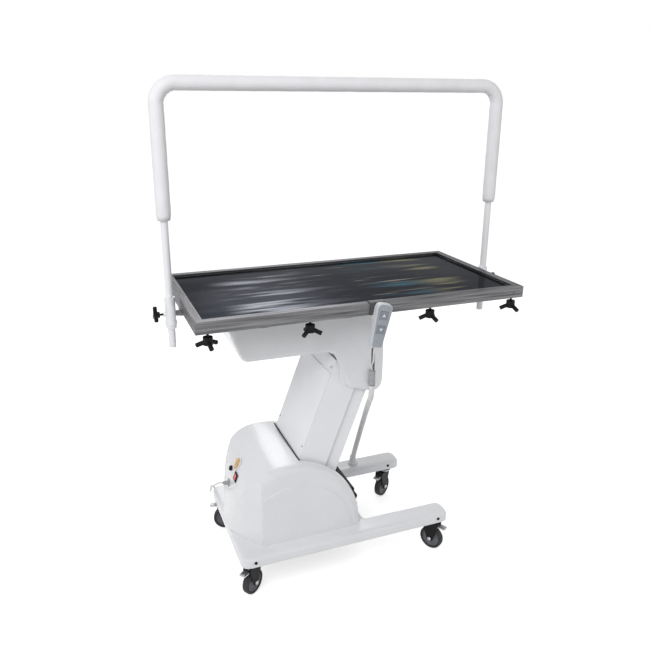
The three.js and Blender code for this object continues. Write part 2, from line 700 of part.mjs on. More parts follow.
function makeCaster(name, x, y) {
  const place = group(table, x, y, 0);
  place.rotation.z = radians(TRAIL_ANGLE[name]);
  const inner = WHEEL_WIDTH / 2 + FORK_GAP;
  const outer = inner + FORK_PLATE;
  const headBottom = CASTER_HEIGHT - FORK_HEAD_HEIGHT;
  const axle = { x: CASTER_TRAIL, z: WHEEL_RADIUS };
  const eye = AXLE_RADIUS + 6;
  const cheek = outline([
    [-FORK_HEAD_RADIUS + 6, headBottom + FORK_PLATE, 4], [axle.x - eye, axle.z - eye, 8],
    [axle.x + eye, axle.z - eye, 8],
    [PEDAL_PIVOT_X + PEDAL_HUB + 3, PEDAL_PIVOT_Z - PEDAL_HUB, 6],
    [PEDAL_PIVOT_X + PEDAL_HUB + 3, headBottom + FORK_PLATE, 6]]);
  const crown = box(-FORK_HEAD_RADIUS + 8, PEDAL_PIVOT_X, -outer + 1, outer - 1, headBottom - 2,
    headBottom + FORK_PLATE);
  const fork = joined(
    bar(FORK_HEAD_RADIUS, [0, 0, headBottom], [0, 0, CASTER_HEIGHT], ROUND),
    bar(STEM_RADIUS, [0, 0, CASTER_HEIGHT - 1], [0, 0, CASTER_HEIGHT + STEM_LENGTH], SMALL),
    across(cheek, inner, outer), across(cheek, -outer, -inner), crown,
    barAcross(AXLE_RADIUS, axle.x, axle.z, outer + 2, SMALL));
  piece(place, `caster_fork_${name}`, fork, zinc);

  const half = WHEEL_WIDTH / 2;
  const disc = WHEEL_DISC / 2;
  const bore = AXLE_RADIUS + PIN_GAP;
  const rim = WHEEL_RADIUS - TYRE_DEPTH;
  const profile = [
    [bore, -half], [HUB_RADIUS, -half], [HUB_RADIUS, -disc], [rim, -disc], [rim, -half + 1],
    [WHEEL_RADIUS - 5, -half],
    [WHEEL_RADIUS, -half / 2], [WHEEL_RADIUS, half / 2], [WHEEL_RADIUS - 5, half], [rim, half - 1],
    [rim, disc],
    [HUB_RADIUS, disc], [HUB_RADIUS, half], [bore, half], [bore, -half]];
  const wheel = group(place, axle.x, 0, axle.z);
  piece(wheel, `caster_wheel_${name}`, toSolid(turned(profile, ROUND)), blackRubber);

  const pedal = group(place, PEDAL_PIVOT_X, 0, PEDAL_PIVOT_Z);
  const width = WHEEL_WIDTH / 2 - 1;
  const tread = outline([
    [0, -width], [PEDAL_LENGTH, -width, 5], [PEDAL_LENGTH, width, 5], [0, width]]);
  const lip = box(PEDAL_LENGTH - 8, PEDAL_LENGTH - 3, -width + 4, width - 4, PEDAL_THICKNESS - 1,
    PEDAL_THICKNESS + 4);
  piece(pedal, `brake_pedal_${name}`, joined(
    barAcross(PEDAL_HUB, 0, 0, inner - GAP, SMALL), raised(tread, 0, PEDAL_THICKNESS), lip), blackPlastic);
}

function makeCasters() {
  const [left, right] = casterX;
  makeCaster('near_left', left, -casterY);
  makeCaster('near_right', right, -casterY);
  makeCaster('far_right', right, casterY);
  makeCaster('far_left', left, casterY);
}

// Lift mechanism

const halfSwing = radians(LIFT_SWING / 2);
const crankRest = { x: CRANK_RADIUS * Math.sin(halfSwing), z: -CRANK_RADIUS * Math.cos(halfSwing) };
const rodAxis = lowerArm.z + (crankRest.z - CRANK_RADIUS) / 2;

function pinned(shape, ...holes) {
  const plates = joined(across(shape, plateInner, plateOuter), across(shape, -plateOuter, -plateInner));
  const bores = holes.map(([at, radius]) => barAcross(radius + PIN_GAP, at.x, at.z, plateOuter + 1));
  return { plates, bores };
}

function makePivotBracket() {
  const foot = frameRail.bottom;
  const left = lowerArm.x - BRACKET_EYE - 6;
  const right = lowerLink.x + LINK_EYE + 6;
  const shape = outline([
    [left, foot, 2], [right, foot, 2], [right, lowerLink.z + LINK_EYE, LINK_EYE / 2],
    [lowerArm.x + BRACKET_EYE, lowerArm.z + BRACKET_EYE, BRACKET_EYE],
    [lowerArm.x - BRACKET_EYE, lowerArm.z + BRACKET_EYE,
      BRACKET_EYE * 0.8]]);
  const { plates, bores } = pinned(shape, [lowerArm, ARM_PIN_RADIUS], [lowerLink, LINK_PIN_RADIUS]);
  const floor = box(left + 2, right - 2, -plateInner - 1, plateInner + 1, foot, foot + BRACKET_FLOOR);
  piece(table, 'pivot_bracket', cut(joined(plates, floor), ...bores), steel);
  piece(table, 'lower_arm_pin', barAcross(ARM_PIN_RADIUS, lowerArm.x, lowerArm.z, plateOuter), zinc);
  piece(table, 'lower_link_pin', barAcross(LINK_PIN_RADIUS, lowerLink.x, lowerLink.z, plateOuter), zinc);
}

function makeArm() {
  const place = group(table, lowerArm.x, 0, lowerArm.z);
  place.rotation.y = lean;
  const top = ARM_LENGTH + ARM_HEAD;
  const channel = cut(
    box(-ARM_FRONT, ARM_BACK, -armHalf, armHalf, -ARM_TAIL, top),
    box(-ARM_FRONT + ARM_WALL, ARM_BACK + 1, -armHalf + ARM_WALL, armHalf - ARM_WALL, -ARM_TAIL - 1,
    top + 1));
  const tubes = [0, ARM_LENGTH].map((z) => barAcross(ARM_TUBE_RADIUS, 0, z, armHalf - 1));
  const gussets = [0, ARM_LENGTH].map((z) => box(-ARM_FRONT + 1, 0, -CRANK_THICKNESS / 2,
    CRANK_THICKNESS / 2, z - 10, z + 10));
  const crankTurn = (geometry) => toSolid(geometry.rotateY(-lean));
  const crankShape = new THREE.Shape();
  const side = Math.atan2(crankRest.z, crankRest.x);
  crankShape.absarc(0, 0, ARM_TUBE_RADIUS, side + Math.PI / 2, side + 1.5 * Math.PI, false);
  crankShape.absarc(crankRest.x, crankRest.z, CRANK_EYE, side - Math.PI / 2, side + Math.PI / 2, false);
  const crank = crankTurn(
    extruded(crankShape, CRANK_THICKNESS, 0, 6).rotateX(Math.PI / 2).translate(0, CRANK_THICKNESS / 2, 0));
  const pinHalf = CRANK_THICKNESS / 2 + GAP + CLEVIS_CHEEK;
  const crankPin = crankTurn(new THREE.CylinderGeometry(CRANK_PIN_RADIUS, CRANK_PIN_RADIUS, 2 * pinHalf,
    SMALL)
    .translate(crankRest.x, 0, crankRest.z));
  const bores = [0, ARM_LENGTH].map((z) => barAcross(ARM_PIN_RADIUS + PIN_GAP, 0, z, armHalf + 1));
  const arm = cut(joined(channel, ...tubes, ...gussets, crank, crankPin), ...bores);
  piece(place, 'lift_arm', arm, whitePaint);

  const coverHalf = armHalf - COVER_BORDER;
  const front = -ARM_FRONT - GAP;
  const panel = box(front - COVER_THICKNESS, front, -coverHalf, coverHalf, COVER_START, COVER_END);
  piece(place, 'arm_cover', panel, whitePaint);
}

const linkOuter = armHalf - ARM_WALL - LINK_SIDE_GAP;

function makeLink() {
  const place = group(table, lowerLink.x, 0, lowerLink.z);
  place.rotation.y = lean;
  const half = LINK_WIDTH / 2;
  const shape = new THREE.Shape();
  shape.absarc(0, 0, half, Math.PI, 2 * Math.PI, false);
  shape.absarc(0, ARM_LENGTH, half, 0, Math.PI, false);
  const bars = [across(shape, linkOuter - LINK_BAR, linkOuter, 0, 8),
    across(shape, -linkOuter, -linkOuter + LINK_BAR, 0, 8)];
  const web = box(half - ARM_WALL, half, -linkOuter + 1, linkOuter - 1, LINK_WEB_START, LINK_WEB_END);
  const bores = [0, ARM_LENGTH].map((z) => barAcross(LINK_PIN_RADIUS + PIN_GAP, 0, z, armHalf));
  piece(place, 'parallel_link', cut(joined(...bars, web), ...bores), whitePaint);
}

function makeCarriage() {
  const plateTop = crossbarBottom - GAP;
  const right = upperLink.x + LINK_EYE;
  const shape = outline([
    [upperArm.x - BRACKET_EYE, upperArm.z - BRACKET_EYE, BRACKET_EYE * 0.8],
    [upperLink.x - LINK_EYE / 2, upperLink.z - LINK_EYE, LINK_EYE / 2],
    [right, upperLink.z - LINK_EYE, LINK_EYE * 0.8],
    [right, plateTop], [upperArm.x - 2 * BRACKET_EYE, plateTop],
    [upperArm.x - BRACKET_EYE, upperArm.z + 2 * BRACKET_EYE, 20]]);
  const { plates, bores } = pinned(shape, [upperArm, ARM_PIN_RADIUS], [upperLink, LINK_PIN_RADIUS]);
  const [, seatLeft, seatRight] = CROSSBAR_X;
  const seat = box(seatLeft - TOP_BAR / 2, seatRight + TOP_BAR / 2, -plateOuter, plateOuter,
    plateTop - BRACKET_PLATE, plateTop);
  piece(table, 'carriage_bracket', cut(joined(plates, seat), ...bores), steel);
  piece(table, 'upper_arm_pin', barAcross(ARM_PIN_RADIUS, upperArm.x, upperArm.z, plateOuter), zinc);
  piece(table, 'upper_link_pin', barAcross(LINK_PIN_RADIUS, upperLink.x, upperLink.z, plateOuter), zinc);
}

function makeActuator() {
  const pinX = lowerArm.x + crankRest.x;
  const stroke = 2 * crankRest.x;
  const forkHalf = CRANK_THICKNESS / 2 + GAP + CLEVIS_CHEEK;
  const forkInner = CRANK_THICKNESS / 2 + GAP;
  const bridgeTop = CRANK_EYE - 2;
  const slotHalf = CRANK_PIN_RADIUS + SLOT_PLAY;
  const slotReach = (CRANK_RADIUS + crankRest.z) / 2 + slotHalf;
  const cheeks = box(
    pinX - CLEVIS_BACK, pinX + CLEVIS_NOSE, -forkHalf, forkHalf, rodAxis - CLEVIS_HALF_HEIGHT,
    rodAxis + CLEVIS_HALF_HEIGHT);
  const throat = box(pinX - CLEVIS_BACK + CLEVIS_BRIDGE, pinX + CLEVIS_NOSE + 1, -forkInner, forkInner,
    rodAxis - CLEVIS_HALF_HEIGHT - 1, rodAxis + CLEVIS_HALF_HEIGHT + 1);
  const window = box(pinX - slotHalf, pinX + slotHalf, -forkHalf - 1, forkHalf + 1, rodAxis - slotReach,
    rodAxis + slotReach);
  const shoulder = box(pinX - CLEVIS_BACK - 1, pinX - CLEVIS_BACK + CLEVIS_BRIDGE, -forkHalf - 1,
    forkHalf + 1,
    rodAxis + bridgeTop, rodAxis + CLEVIS_HALF_HEIGHT + 1);
  const nose = pinX - stroke - CLEVIS_BACK - ACTUATOR_NOSE_GAP;
  const rodTail = nose - ROD_TAIL;
  const shaft = bar(ROD_RADIUS, [rodTail, 0, rodAxis], [pinX - CLEVIS_BACK + 1, 0, rodAxis], SMALL);
  piece(table, 'actuator_rod', joined(cut(cheeks, throat, window, shoulder), shaft), zinc);

  const rear = leftMember.to + GAP;
  const boreEnd = rodTail - stroke - 1;
  const motorX = rear + GEARBOX_LENGTH / 2;
  const gearHalf = GEARBOX_WIDTH / 2;
  const body = joined(
    bar(ACTUATOR_RADIUS, [rear + 1, 0, rodAxis], [nose, 0, rodAxis], ROUND),
    box(rear, rear + GEARBOX_LENGTH, -gearHalf, gearHalf, rodAxis - ACTUATOR_RADIUS - 2,
    rodAxis + ACTUATOR_RADIUS + 2),
    bar(MOTOR_RADIUS, [motorX, 0, rodAxis], [motorX, 0, rodAxis + ACTUATOR_RADIUS + MOTOR_HEIGHT], ROUND));
  const bore = bar(ROD_RADIUS + PIN_GAP, [boreEnd, 0, rodAxis], [nose + 1, 0, rodAxis], SMALL);
  piece(table, 'actuator_body', cut(body, bore), steel);
}

// Motor cover and its fittings

const slotHalf = armHalf + DOME_SLOT_GAP;
const noseCurve = new THREE.QuadraticBezierCurve(
  new THREE.Vector2(NOSE_KNEE_X, baseTop + NOSE_KNEE_RISE),
  new THREE.Vector2(NOSE_CROWN_X, baseTop + NOSE_CROWN_RISE),
  new THREE.Vector2(
    DOME_CENTRE_X + DOME_RADIUS * Math.cos(radians(NOSE_ARC_START)),
    baseTop + DOME_RADIUS * Math.sin(radians(NOSE_ARC_START))));

// The dome's solid with all its walls moved inwards by depth
function domeSolid(depth) {
  const shape = new THREE.Shape();
  const foot = baseTop - 2 * DOME_EDGE;
  const { v0, v1 } = noseCurve;
  shape.moveTo(NOSE_FOOT_X + depth, foot);
  shape.lineTo(NOSE_FOOT_X + depth, baseTop);
  shape.lineTo(v0.x + depth, v0.y);
  const crown = DOME_RADIUS - depth;
  const arcStart = radians(NOSE_ARC_START);
  shape.quadraticCurveTo(v1.x + depth, v1.y - depth,
    DOME_CENTRE_X + crown * Math.cos(arcStart), baseTop + crown * Math.sin(arcStart));
  shape.absarc(DOME_CENTRE_X, baseTop, crown, arcStart, Math.PI / 2, true);
  shape.absellipse(DOME_CENTRE_X, baseTop, DOME_REACH - depth, crown, Math.PI / 2, 0, true);
  shape.lineTo(DOME_CENTRE_X + DOME_REACH - depth, foot);
  const half = DOME_WIDTH / 2 - depth;
  const arch = across(shape, -half, half, DOME_EDGE - depth, 14);
  const right = DOME_CENTRE_X + DOME_RADIUS + 1;
  const plan = [
    [FACET_FRONT_X, -DOME_WIDTH / 2], [right, -DOME_WIDTH / 2], [right, DOME_WIDTH / 2],
    [FACET_FRONT_X, DOME_WIDTH / 2],
    [FACET_MID_X, FACET_MID_Y], [NOSE_FOOT_X, FACET_NOSE_Y], [NOSE_FOOT_X, -FACET_NOSE_Y],
    [FACET_MID_X, -FACET_MID_Y]];
  const top = baseTop + DOME_RADIUS + 1;
  return arch.intersect(raised(outline(inset(plan, depth)), depth > 0 ? baseTop - 1 : baseTop + GAP, top));
}

// A frame on the nose: local x points out of the surface, y runs across, z up the curve
function noseSeat(share, y) {
  const spot = noseCurve.getPoint(share);
  const slope = noseCurve.getTangent(share);
  const place = group(table, spot.x, y, spot.y);
  place.rotation.y = Math.PI - Math.atan2(slope.x, slope.y) * -1;
  place.updateMatrixWorld(true);
  return place;
}

const seats = {
  lamp: noseSeat(LAMP_AT, LAMP_Y),
  fuse: noseSeat(FUSE_AT, FUSE_Y),
  rocker: noseSeat(ROCKER_AT, ROCKER_Y),
  gland: noseSeat(GLAND_AT, GLAND_Y),
};

function seatTool(seat, geometry) {
  return toSolid(geometry.applyMatrix4(seat.matrixWorld));
}

function roundTool(seat, radius) {
  const reach = radius / Math.cos(Math.PI / ROUND);
  return seatTool(seat, new THREE.CylinderGeometry(reach, reach, 2 * FITTING_DEPTH,
    ROUND).rotateZ(Math.PI / 2));
}

function makeDome() {
  const shell = cut(domeSolid(0), domeSolid(DOME_WALL));
  const roofX = (z) => lowerArm.x + (z - lowerArm.z) * Math.tan(lean)
    - (ARM_FRONT + GAP + COVER_THICKNESS + ROOF_GAP) / Math.cos(lean);
  const right = DOME_CENTRE_X + DOME_RADIUS + 2;
  const top = baseTop + DOME_RADIUS + 2;
  const kneeZ = baseTop + DOME_RADIUS - 2 * DOME_EDGE;
  const slotShape = outline([
    [roofX(kneeZ), baseTop - 1], [right, baseTop - 1], [right, top], [roofX(top), top],
    [roofX(kneeZ), kneeZ]]);
  const slot = across(slotShape, -slotHalf, slotHalf);
  const cheekBlock = across(slotShape, -slotHalf - CHEEK_WALL, slotHalf + CHEEK_WALL);
  const cheeks = domeSolid(0).intersect(cheekBlock);
  const discShape = new THREE.Shape();
  discShape.absarc(CHEEK_DISC_X, baseTop + GAP, Math.min(CHEEK_DISC_RADIUS, DOME_RADIUS - 2 * DOME_EDGE),
    0, Math.PI, false);
  const discHalf = DOME_WIDTH / 2 + CHEEK_DISC_PROUD;
  const discPlates = [
    across(discShape, DOME_WIDTH / 2 - 1, discHalf, 0, 16),
    across(discShape, -discHalf, -DOME_WIDTH / 2 + 1, 0, 16)];
  const facetTrim = box(FACET_FRONT_X + 4, right, -discHalf - 1, discHalf + 1, baseTop, top);
  const trimmed = discPlates.map((plate) => plate.intersect(facetTrim));
  const rockerHole = seatTool(seats.rocker, new THREE.BoxGeometry(
    2 * FITTING_DEPTH, ROCKER_LENGTH + 2 * BEZEL_BORDER, ROCKER_WIDTH + 2 * BEZEL_BORDER));
  const glandHole = seatTool(seats.gland, new THREE.BoxGeometry(
    2 * FITTING_DEPTH, GLAND_SIZE - 2 * BEZEL_BORDER + 2 * PIN_GAP,
    GLAND_SIZE - 2 * BEZEL_BORDER + 2 * PIN_GAP));
  const dome = cut(joined(shell, cheeks, ...trimmed), slot,
    roundTool(seats.lamp, LAMP_BARREL_RADIUS + PIN_GAP),
    roundTool(seats.fuse, FUSE_BARREL_RADIUS + PIN_GAP), rockerHole, glandHole);
  piece(table, 'motor_cover', dome, whiteShell);
}

// A turned fitting whose flange sits on the nose and whose barrel goes through the wall
function noseFitting(name, seat, profile, material) {
  const geometry = turned(profile, ROUND).rotateZ(-Math.PI / 2);
  piece(seat, name, toSolid(geometry), material);
}

function makeNoseFittings() {
  const flange = GAP + FLANGE_THICKNESS;
  noseFitting('pilot_lamp', seats.lamp, [
    [0, -FITTING_DEPTH], [LAMP_BARREL_RADIUS, -FITTING_DEPTH], [LAMP_BARREL_RADIUS, GAP],
    [LAMP_RADIUS + LAMP_RING, GAP],
    [LAMP_RADIUS + LAMP_RING, flange], [LAMP_RADIUS, flange + 1], [LAMP_RADIUS * 0.75, flange + 5],
    [0, flange + 7]],
  finish(0xb9791f, 0.25));
  noseFitting('fuse_holder', seats.fuse, [
    [0, -FITTING_DEPTH], [FUSE_BARREL_RADIUS, -FITTING_DEPTH], [FUSE_BARREL_RADIUS, GAP],
    [FUSE_RADIUS, GAP],
    [FUSE_RADIUS, flange + 3], [FUSE_RADIUS - 2, flange + 6], [0, flange + 6]], blackPlastic);
  const length = ROCKER_LENGTH / 2 + BEZEL_BORDER;
  const width = ROCKER_WIDTH / 2 + BEZEL_BORDER;
  const cup = (grow, from, to) => box(from, to, -length - grow, length + grow, -width - grow, width + grow);
  const hollowY = ROCKER_LENGTH / 2 + BUTTON_GAP;
  const hollowZ = ROCKER_WIDTH / 2 + BUTTON_GAP;
  const bezel = cut(
    joined(cup(-PIN_GAP, -FITTING_DEPTH, 1), cup(2, GAP, flange)),
    box(-FITTING_DEPTH + 3, flange + 1, -hollowY, hollowY, -hollowZ, hollowZ));
  piece(seats.rocker, 'rocker_bezel', bezel, blackPlastic);
  const paddle = outline([
    [-8, -ROCKER_LENGTH / 2 + 1], [0, -ROCKER_LENGTH / 2 + 1], [flange + 3, -ROCKER_LENGTH / 2 + 1],
    [flange + 1, 0],
    [flange + 3, ROCKER_LENGTH / 2 - 1], [-8, ROCKER_LENGTH / 2 - 1]]);
  piece(seats.rocker, 'rocker', raised(paddle, -ROCKER_WIDTH / 2, ROCKER_WIDTH / 2),
    finish(0xb01c22, 0.35));
  const gland = GLAND_SIZE / 2;
  const neck = gland - BEZEL_BORDER;
  const taper = turned([[0, 0], [neck, 0], [neck, flange + 4], [MAINS_RADIUS + 2.5, flange + GLAND_NOSE],
    [0, flange + GLAND_NOSE]], SMALL);
  piece(seats.gland, 'cord_gland', joined(
    box(-FITTING_DEPTH, 1, -neck, neck, -neck, neck), box(GAP, flange, -gland, gland, -gland, gland),
    toSolid(taper.rotateZ(-Math.PI / 2))), finish(0x4a4c50, 0.5));
}

function makeControlBox() {
  const shape = outline([
    [CONTROL_X, CONTROL_Y, 4], [CONTROL_X + CONTROL_LENGTH, CONTROL_Y, 4],
    [CONTROL_X + CONTROL_LENGTH, CONTROL_Y + CONTROL_WIDTH, 4], [CONTROL_X, CONTROL_Y + CONTROL_WIDTH, 4]]);
  piece(table, 'control_box', raised(shape, baseTop + GAP, baseTop + GAP + CONTROL_HEIGHT), greyPlastic);
}

// Black pleated skirt that closes the dome slot below the parallel link
function makeBellows() {
  const outer = DOME_REACH - BELLOWS_SIDE_GAP;
  const faceOffset = LINK_OFFSET_X * Math.cos(lean) - LINK_OFFSET_Z * Math.sin(lean) + LINK_WIDTH / 2 + GAP;
  const inner = outer - BELLOWS_DEPTH - BELLOWS_SHEET;
  const toPivot = (lowerArm.x - DOME_CENTRE_X) * Math.cos(lean) - (lowerArm.z - baseTop) * Math.sin(lean);
  const toCentre = toPivot + faceOffset;
  const topAngle = Math.acos(toCentre / inner) - lean;
  const lowAngle = Math.asin(GAP / inner);
  const spot = (radius, angle) => [DOME_CENTRE_X + radius * Math.cos(angle),
    baseTop + radius * Math.sin(angle)];
  const outside = [];
  const inside = [];
  for (let i = 0; i <= 2 * BELLOWS_PLEATS; i += 1) {
    const share = i / (2 * BELLOWS_PLEATS);
    const angle = lowAngle + (topAngle - lowAngle) * share;
    const bulge = BELLOWS_BULGE * Math.sin(Math.PI * share) ** 2;
    const radius = outer + bulge - (i % 2 ? 0 : BELLOWS_DEPTH);
    outside.push(spot(radius, angle));
    inside.unshift(spot(radius - BELLOWS_SHEET, angle));
  }
  const half = slotHalf - BELLOWS_SIDE_GAP;
  piece(table, 'slot_bellows', across(outline([...outside, ...inside]), -half, half), blackRubber);
}

// Under-housing

function housingSolid(depth) {
  const top = housingTop + (depth > 0 ? 1 : 0);
  const high = housingTop + 2 * HOUSING_EDGE;
  const bowLean = (HOUSING_TOP_X - HOUSING_BOW_X) / (housingTop - HOUSING_BOW_Z);
  const side = [
    [HOUSING_BOW_X + (high - HOUSING_BOW_Z) * bowLean, high],
    [HOUSING_BOW_X, HOUSING_BOW_Z, HOUSING_RADIUS],
    [HOUSING_STEP_X, HOUSING_STEP_Z, HOUSING_RADIUS], [LOBE_LEFT_X, LOBE_LEFT_Z, HOUSING_RADIUS],
    [LOBE_RIGHT_X, LOBE_RIGHT_Z, HOUSING_RADIUS], [LOBE_RIGHT_X, high]];
  const half = HOUSING_WIDTH / 2;
  const plan = [
    [HOUSING_TOP_X - HOUSING_EDGE, -half], [HOUSING_CREASE_X, -half], [LOBE_RIGHT_X, -HOUSING_NOSE_Y],
    [LOBE_RIGHT_X, HOUSING_NOSE_Y], [HOUSING_CREASE_X, half], [HOUSING_TOP_X - HOUSING_EDGE, half]];
  const profile = across(outline(inset(side, depth)), -half + depth, half - depth, HOUSING_EDGE - depth);
  return profile.intersect(raised(outline(inset(plan, depth)), LOBE_RIGHT_Z - HOUSING_EDGE, top));
}

function makeHousing() {
  const mouthHalf = plateOuter + 1.5;
  const mouth = box(HOUSING_STEP_X - HOUSING_RADIUS, upperLink.x + LINK_WIDTH - 6, -mouthHalf, mouthHalf,
    LOBE_RIGHT_Z - HOUSING_EDGE, HOUSING_STEP_Z - HOUSING_WALL - 2);
  piece(table, 'under_housing', cut(housingSolid(0), housingSolid(HOUSING_WALL), mouth), whiteShell);
}

// Handset, hanger and lead

const hangerFront = -TRAY_WIDTH / 2 - GAP - HANGER_PLATE;
const handsetBack = hangerFront - GAP;
const handset = group(table, HANDSET_X, 0, HANDSET_Z);
handset.rotation.y = radians(HANDSET_TILT);
const peg = {
  x: HANDSET_X + PEG_AT * Math.sin(radians(HANDSET_TILT)),
  z: HANDSET_Z + PEG_AT * Math.cos(radians(HANDSET_TILT)) };

function makeHandset() {
  const half = HANDSET_LENGTH / 2;
  const corners = [
    [-HANDSET_END_WIDTH / 2, -half, 12], [HANDSET_END_WIDTH / 2, -half, 12],
    [HANDSET_TOP_WIDTH / 2, half, 22], [-HANDSET_TOP_WIDTH / 2, half, 22]];
  const front = handsetBack - HANDSET_DEPTH;
  const well = across(outline(inset(corners, HANDSET_WALL)), front - 1, handsetBack - HANDSET_WALL);
  const slotHalf = PEG_RADIUS + PIN_GAP;
  const hook = box(-slotHalf, slotHalf, handsetBack - HANDSET_WALL - 1, handsetBack + 1,
    PEG_AT - PEG_RADIUS - HANDSET_LIFT - 6, PEG_AT + slotHalf);
  const back = cut(across(outline(corners), front, handsetBack, HANDSET_EDGE), well, hook);
  piece(handset, 'handset_back', back, finish(0xc9cdd4, 0.4));

  const faceBack = front + FACE_THICKNESS - FACE_PROUD;
  const window = (z) => box(-BUTTON_WIDTH / 2 - BUTTON_GAP, BUTTON_WIDTH / 2 + BUTTON_GAP, front - 10,
    front + 10,
    z - BUTTON_HEIGHT / 2 - BUTTON_GAP, z + BUTTON_HEIGHT / 2 + BUTTON_GAP);
  const plate = across(outline(inset(corners, HANDSET_WALL + GAP)), front - FACE_PROUD, faceBack);
  piece(handset, 'handset_face', cut(plate, window(BUTTON_UP_Z), window(BUTTON_DOWN_Z)),
    finish(0x8e97a8, 0.5));

  const buttonFront = front - FACE_PROUD - BUTTON_PROUD;
  const button = (z) => across(outline([
    [-BUTTON_WIDTH / 2, z - BUTTON_HEIGHT / 2, 4], [BUTTON_WIDTH / 2, z - BUTTON_HEIGHT / 2, 4],
    [BUTTON_WIDTH / 2, z + BUTTON_HEIGHT / 2, 4], [-BUTTON_WIDTH / 2, z + BUTTON_HEIGHT / 2, 4]]),
  buttonFront, buttonFront + BUTTON_DEPTH);
  piece(handset, 'button_up', button(BUTTON_UP_Z), finish(0x7d8799, 0.5));
  piece(handset, 'button_down', button(BUTTON_DOWN_Z), finish(0x9aa5b5, 0.5));

  const left = peg.x + HANGER_SHIFT - HANGER_WIDTH / 2;
  const right = left + HANGER_WIDTH;
  const rimFace = -TRAY_WIDTH / 2 - GAP;
  const lipTop = TRAY_TOP + GAP + HANGER_PLATE;
  const hanger = joined(
    box(left, right, hangerFront, rimFace, rimBottom, lipTop),
    box(left, right, hangerFront, rimFace + HANGER_LIP, TRAY_TOP + GAP, lipTop),
    bar(PEG_RADIUS, [peg.x, rimFace, peg.z], [peg.x, handsetBack - PEG_LENGTH, peg.z], SMALL));
  piece(table, 'handset_hanger', hanger, finish(0x4a4c50, 0.5));
}

// Cords

function makeLeads() {
  piece(table, 'handset_cord', cord(LEAD_POINTS, LEAD_RADIUS, 8, 28), finish(0x9a9da2, 0.5));
  const [top] = CONDUIT_POINTS;
  const [footX, footY] = CONDUIT_POINTS.at(-1);
  const boot = turned([
    [0, 0], [CONDUIT_BOOT_RADIUS, 0], [CONDUIT_RADIUS + 3, CONDUIT_BOOT_HEIGHT / 2],
    [CONDUIT_RADIUS + 1, CONDUIT_BOOT_HEIGHT],
    [0, CONDUIT_BOOT_HEIGHT]], ROUND).rotateX(Math.PI / 2).translate(footX, footY, baseTop + GAP);
  const collar = bar(CONDUIT_COLLAR_RADIUS, top, [top[0], top[1], top[2] - CONDUIT_COLLAR_LENGTH], SMALL);
  piece(table, 'conduit', joined(cord(CONDUIT_POINTS, CONDUIT_RADIUS, 10, 32), collar, toSolid(boot)),
    greyPlastic);
}

// The coil spirals in on the floor layer, climbs in half a turn and spirals out on the layer above
function coilPath() {
  const end = new THREE.Vector3(...MAINS_POINTS.at(-1));
  const layerTurns = (COIL_TURNS - 0.5) / 2;
  const outer = COIL_MID_RADIUS + (COIL_PITCH * layerTurns) / 2;
  const centre = new THREE.Vector3(end.x, end.y + outer, 0);
  const low = MAINS_RADIUS + COIL_LIFT;
  const points = [new THREE.Vector3(end.x + GAP, end.y, low)];
  const steps = Math.round(COIL_TURNS * LOOP_STEPS);
  const lead = 2 * MAINS_RADIUS;
  for (let i = 0; i <= steps; i += 1) {
    const turn = (i / steps) * COIL_TURNS;
    const climb = THREE.MathUtils.clamp((turn - layerTurns) / 0.5, 0, 1);
    const inward = Math.min(turn, layerTurns + 0.25) - Math.max(turn - layerTurns - 0.25, 0);
    const radius = outer - COIL_PITCH * inward;
    const angle = -Math.PI / 2 + 2 * Math.PI * turn;
    const height = low + COIL_PITCH * climb * climb * (3 - 2 * climb);
    points.push(new THREE.Vector3(
      centre.x + lead + radius * Math.cos(angle), centre.y + radius * Math.sin(angle), height));
  }
  const tail = points.at(-1).clone();
  const heading = tail.clone().sub(points.at(-2)).setZ(0).normalize();
  points.push(tail.addScaledVector(heading, COIL_TAIL));
  return points;
}

function leastGap(points, radius) {
  let least = Infinity;
  const skip = LOOP_STEPS / 2;
  points.forEach((a, i) => points.slice(i + skip).forEach((b) => {
    least = Math.min(least, a.distanceTo(b) - 2 * radius);
  }));
  return least;
}

function makeMains() {
  const tipReach = GAP + FLANGE_THICKNESS + GLAND_NOSE + GAP;
  const leaving = [tipReach, tipReach + GLAND_LEAD].map(
    (reach) => seats.gland.localToWorld(new THREE.Vector3(reach, 0, 0)).toArray());
  piece(table, 'mains_cord', cord([...leaving, ...MAINS_POINTS], MAINS_RADIUS, 8, 48),
    finish(0xdfe0e2, 0.5));
  const path = coilPath();
  console.log(`mains_cord_coil least gap to itself ${leastGap(path, MAINS_RADIUS).toFixed(2)} mm`);
  piece(table, 'mains_cord_coil', tube(path, MAINS_RADIUS, 6, new THREE.Vector3(0, 0, 1)),
    finish(0xdfe0e2, 0.5));
  const tip = path.at(-1);
  const heading = tip.clone().sub(path.at(-2)).normalize();
  const place = group(table, tip.x + heading.x * GAP, tip.y + heading.y * GAP, tip.z);
  place.rotation.z = Math.atan2(heading.y, heading.x);
  const depth = tip.z - COIL_LIFT;
  const shape = outline([
    [0, -MAINS_RADIUS - 2], [12, -MAINS_RADIUS - 4], [22, -PLUG_WIDTH / 2, 4],
    [PLUG_LENGTH, -PLUG_WIDTH / 2, 4],
    [PLUG_LENGTH, PLUG_WIDTH / 2, 4], [22, PLUG_WIDTH / 2, 4], [12, MAINS_RADIUS + 4],
    [0, MAINS_RADIUS + 2]]);
  const pins = [-1, 1].map((side) => bar(PLUG_PIN_RADIUS,
    [PLUG_LENGTH - 2, (side * PLUG_PIN_SPACING) / 2, 0],
    [PLUG_LENGTH + PLUG_PIN_LENGTH, (side * PLUG_PIN_SPACING) / 2, 0], SMALL));
  piece(place, 'mains_plug', joined(raised(shape, -depth, depth, 2, KNOB_STEPS, 1), ...pins),
    finish(0xd8d9dc, 0.5));
}

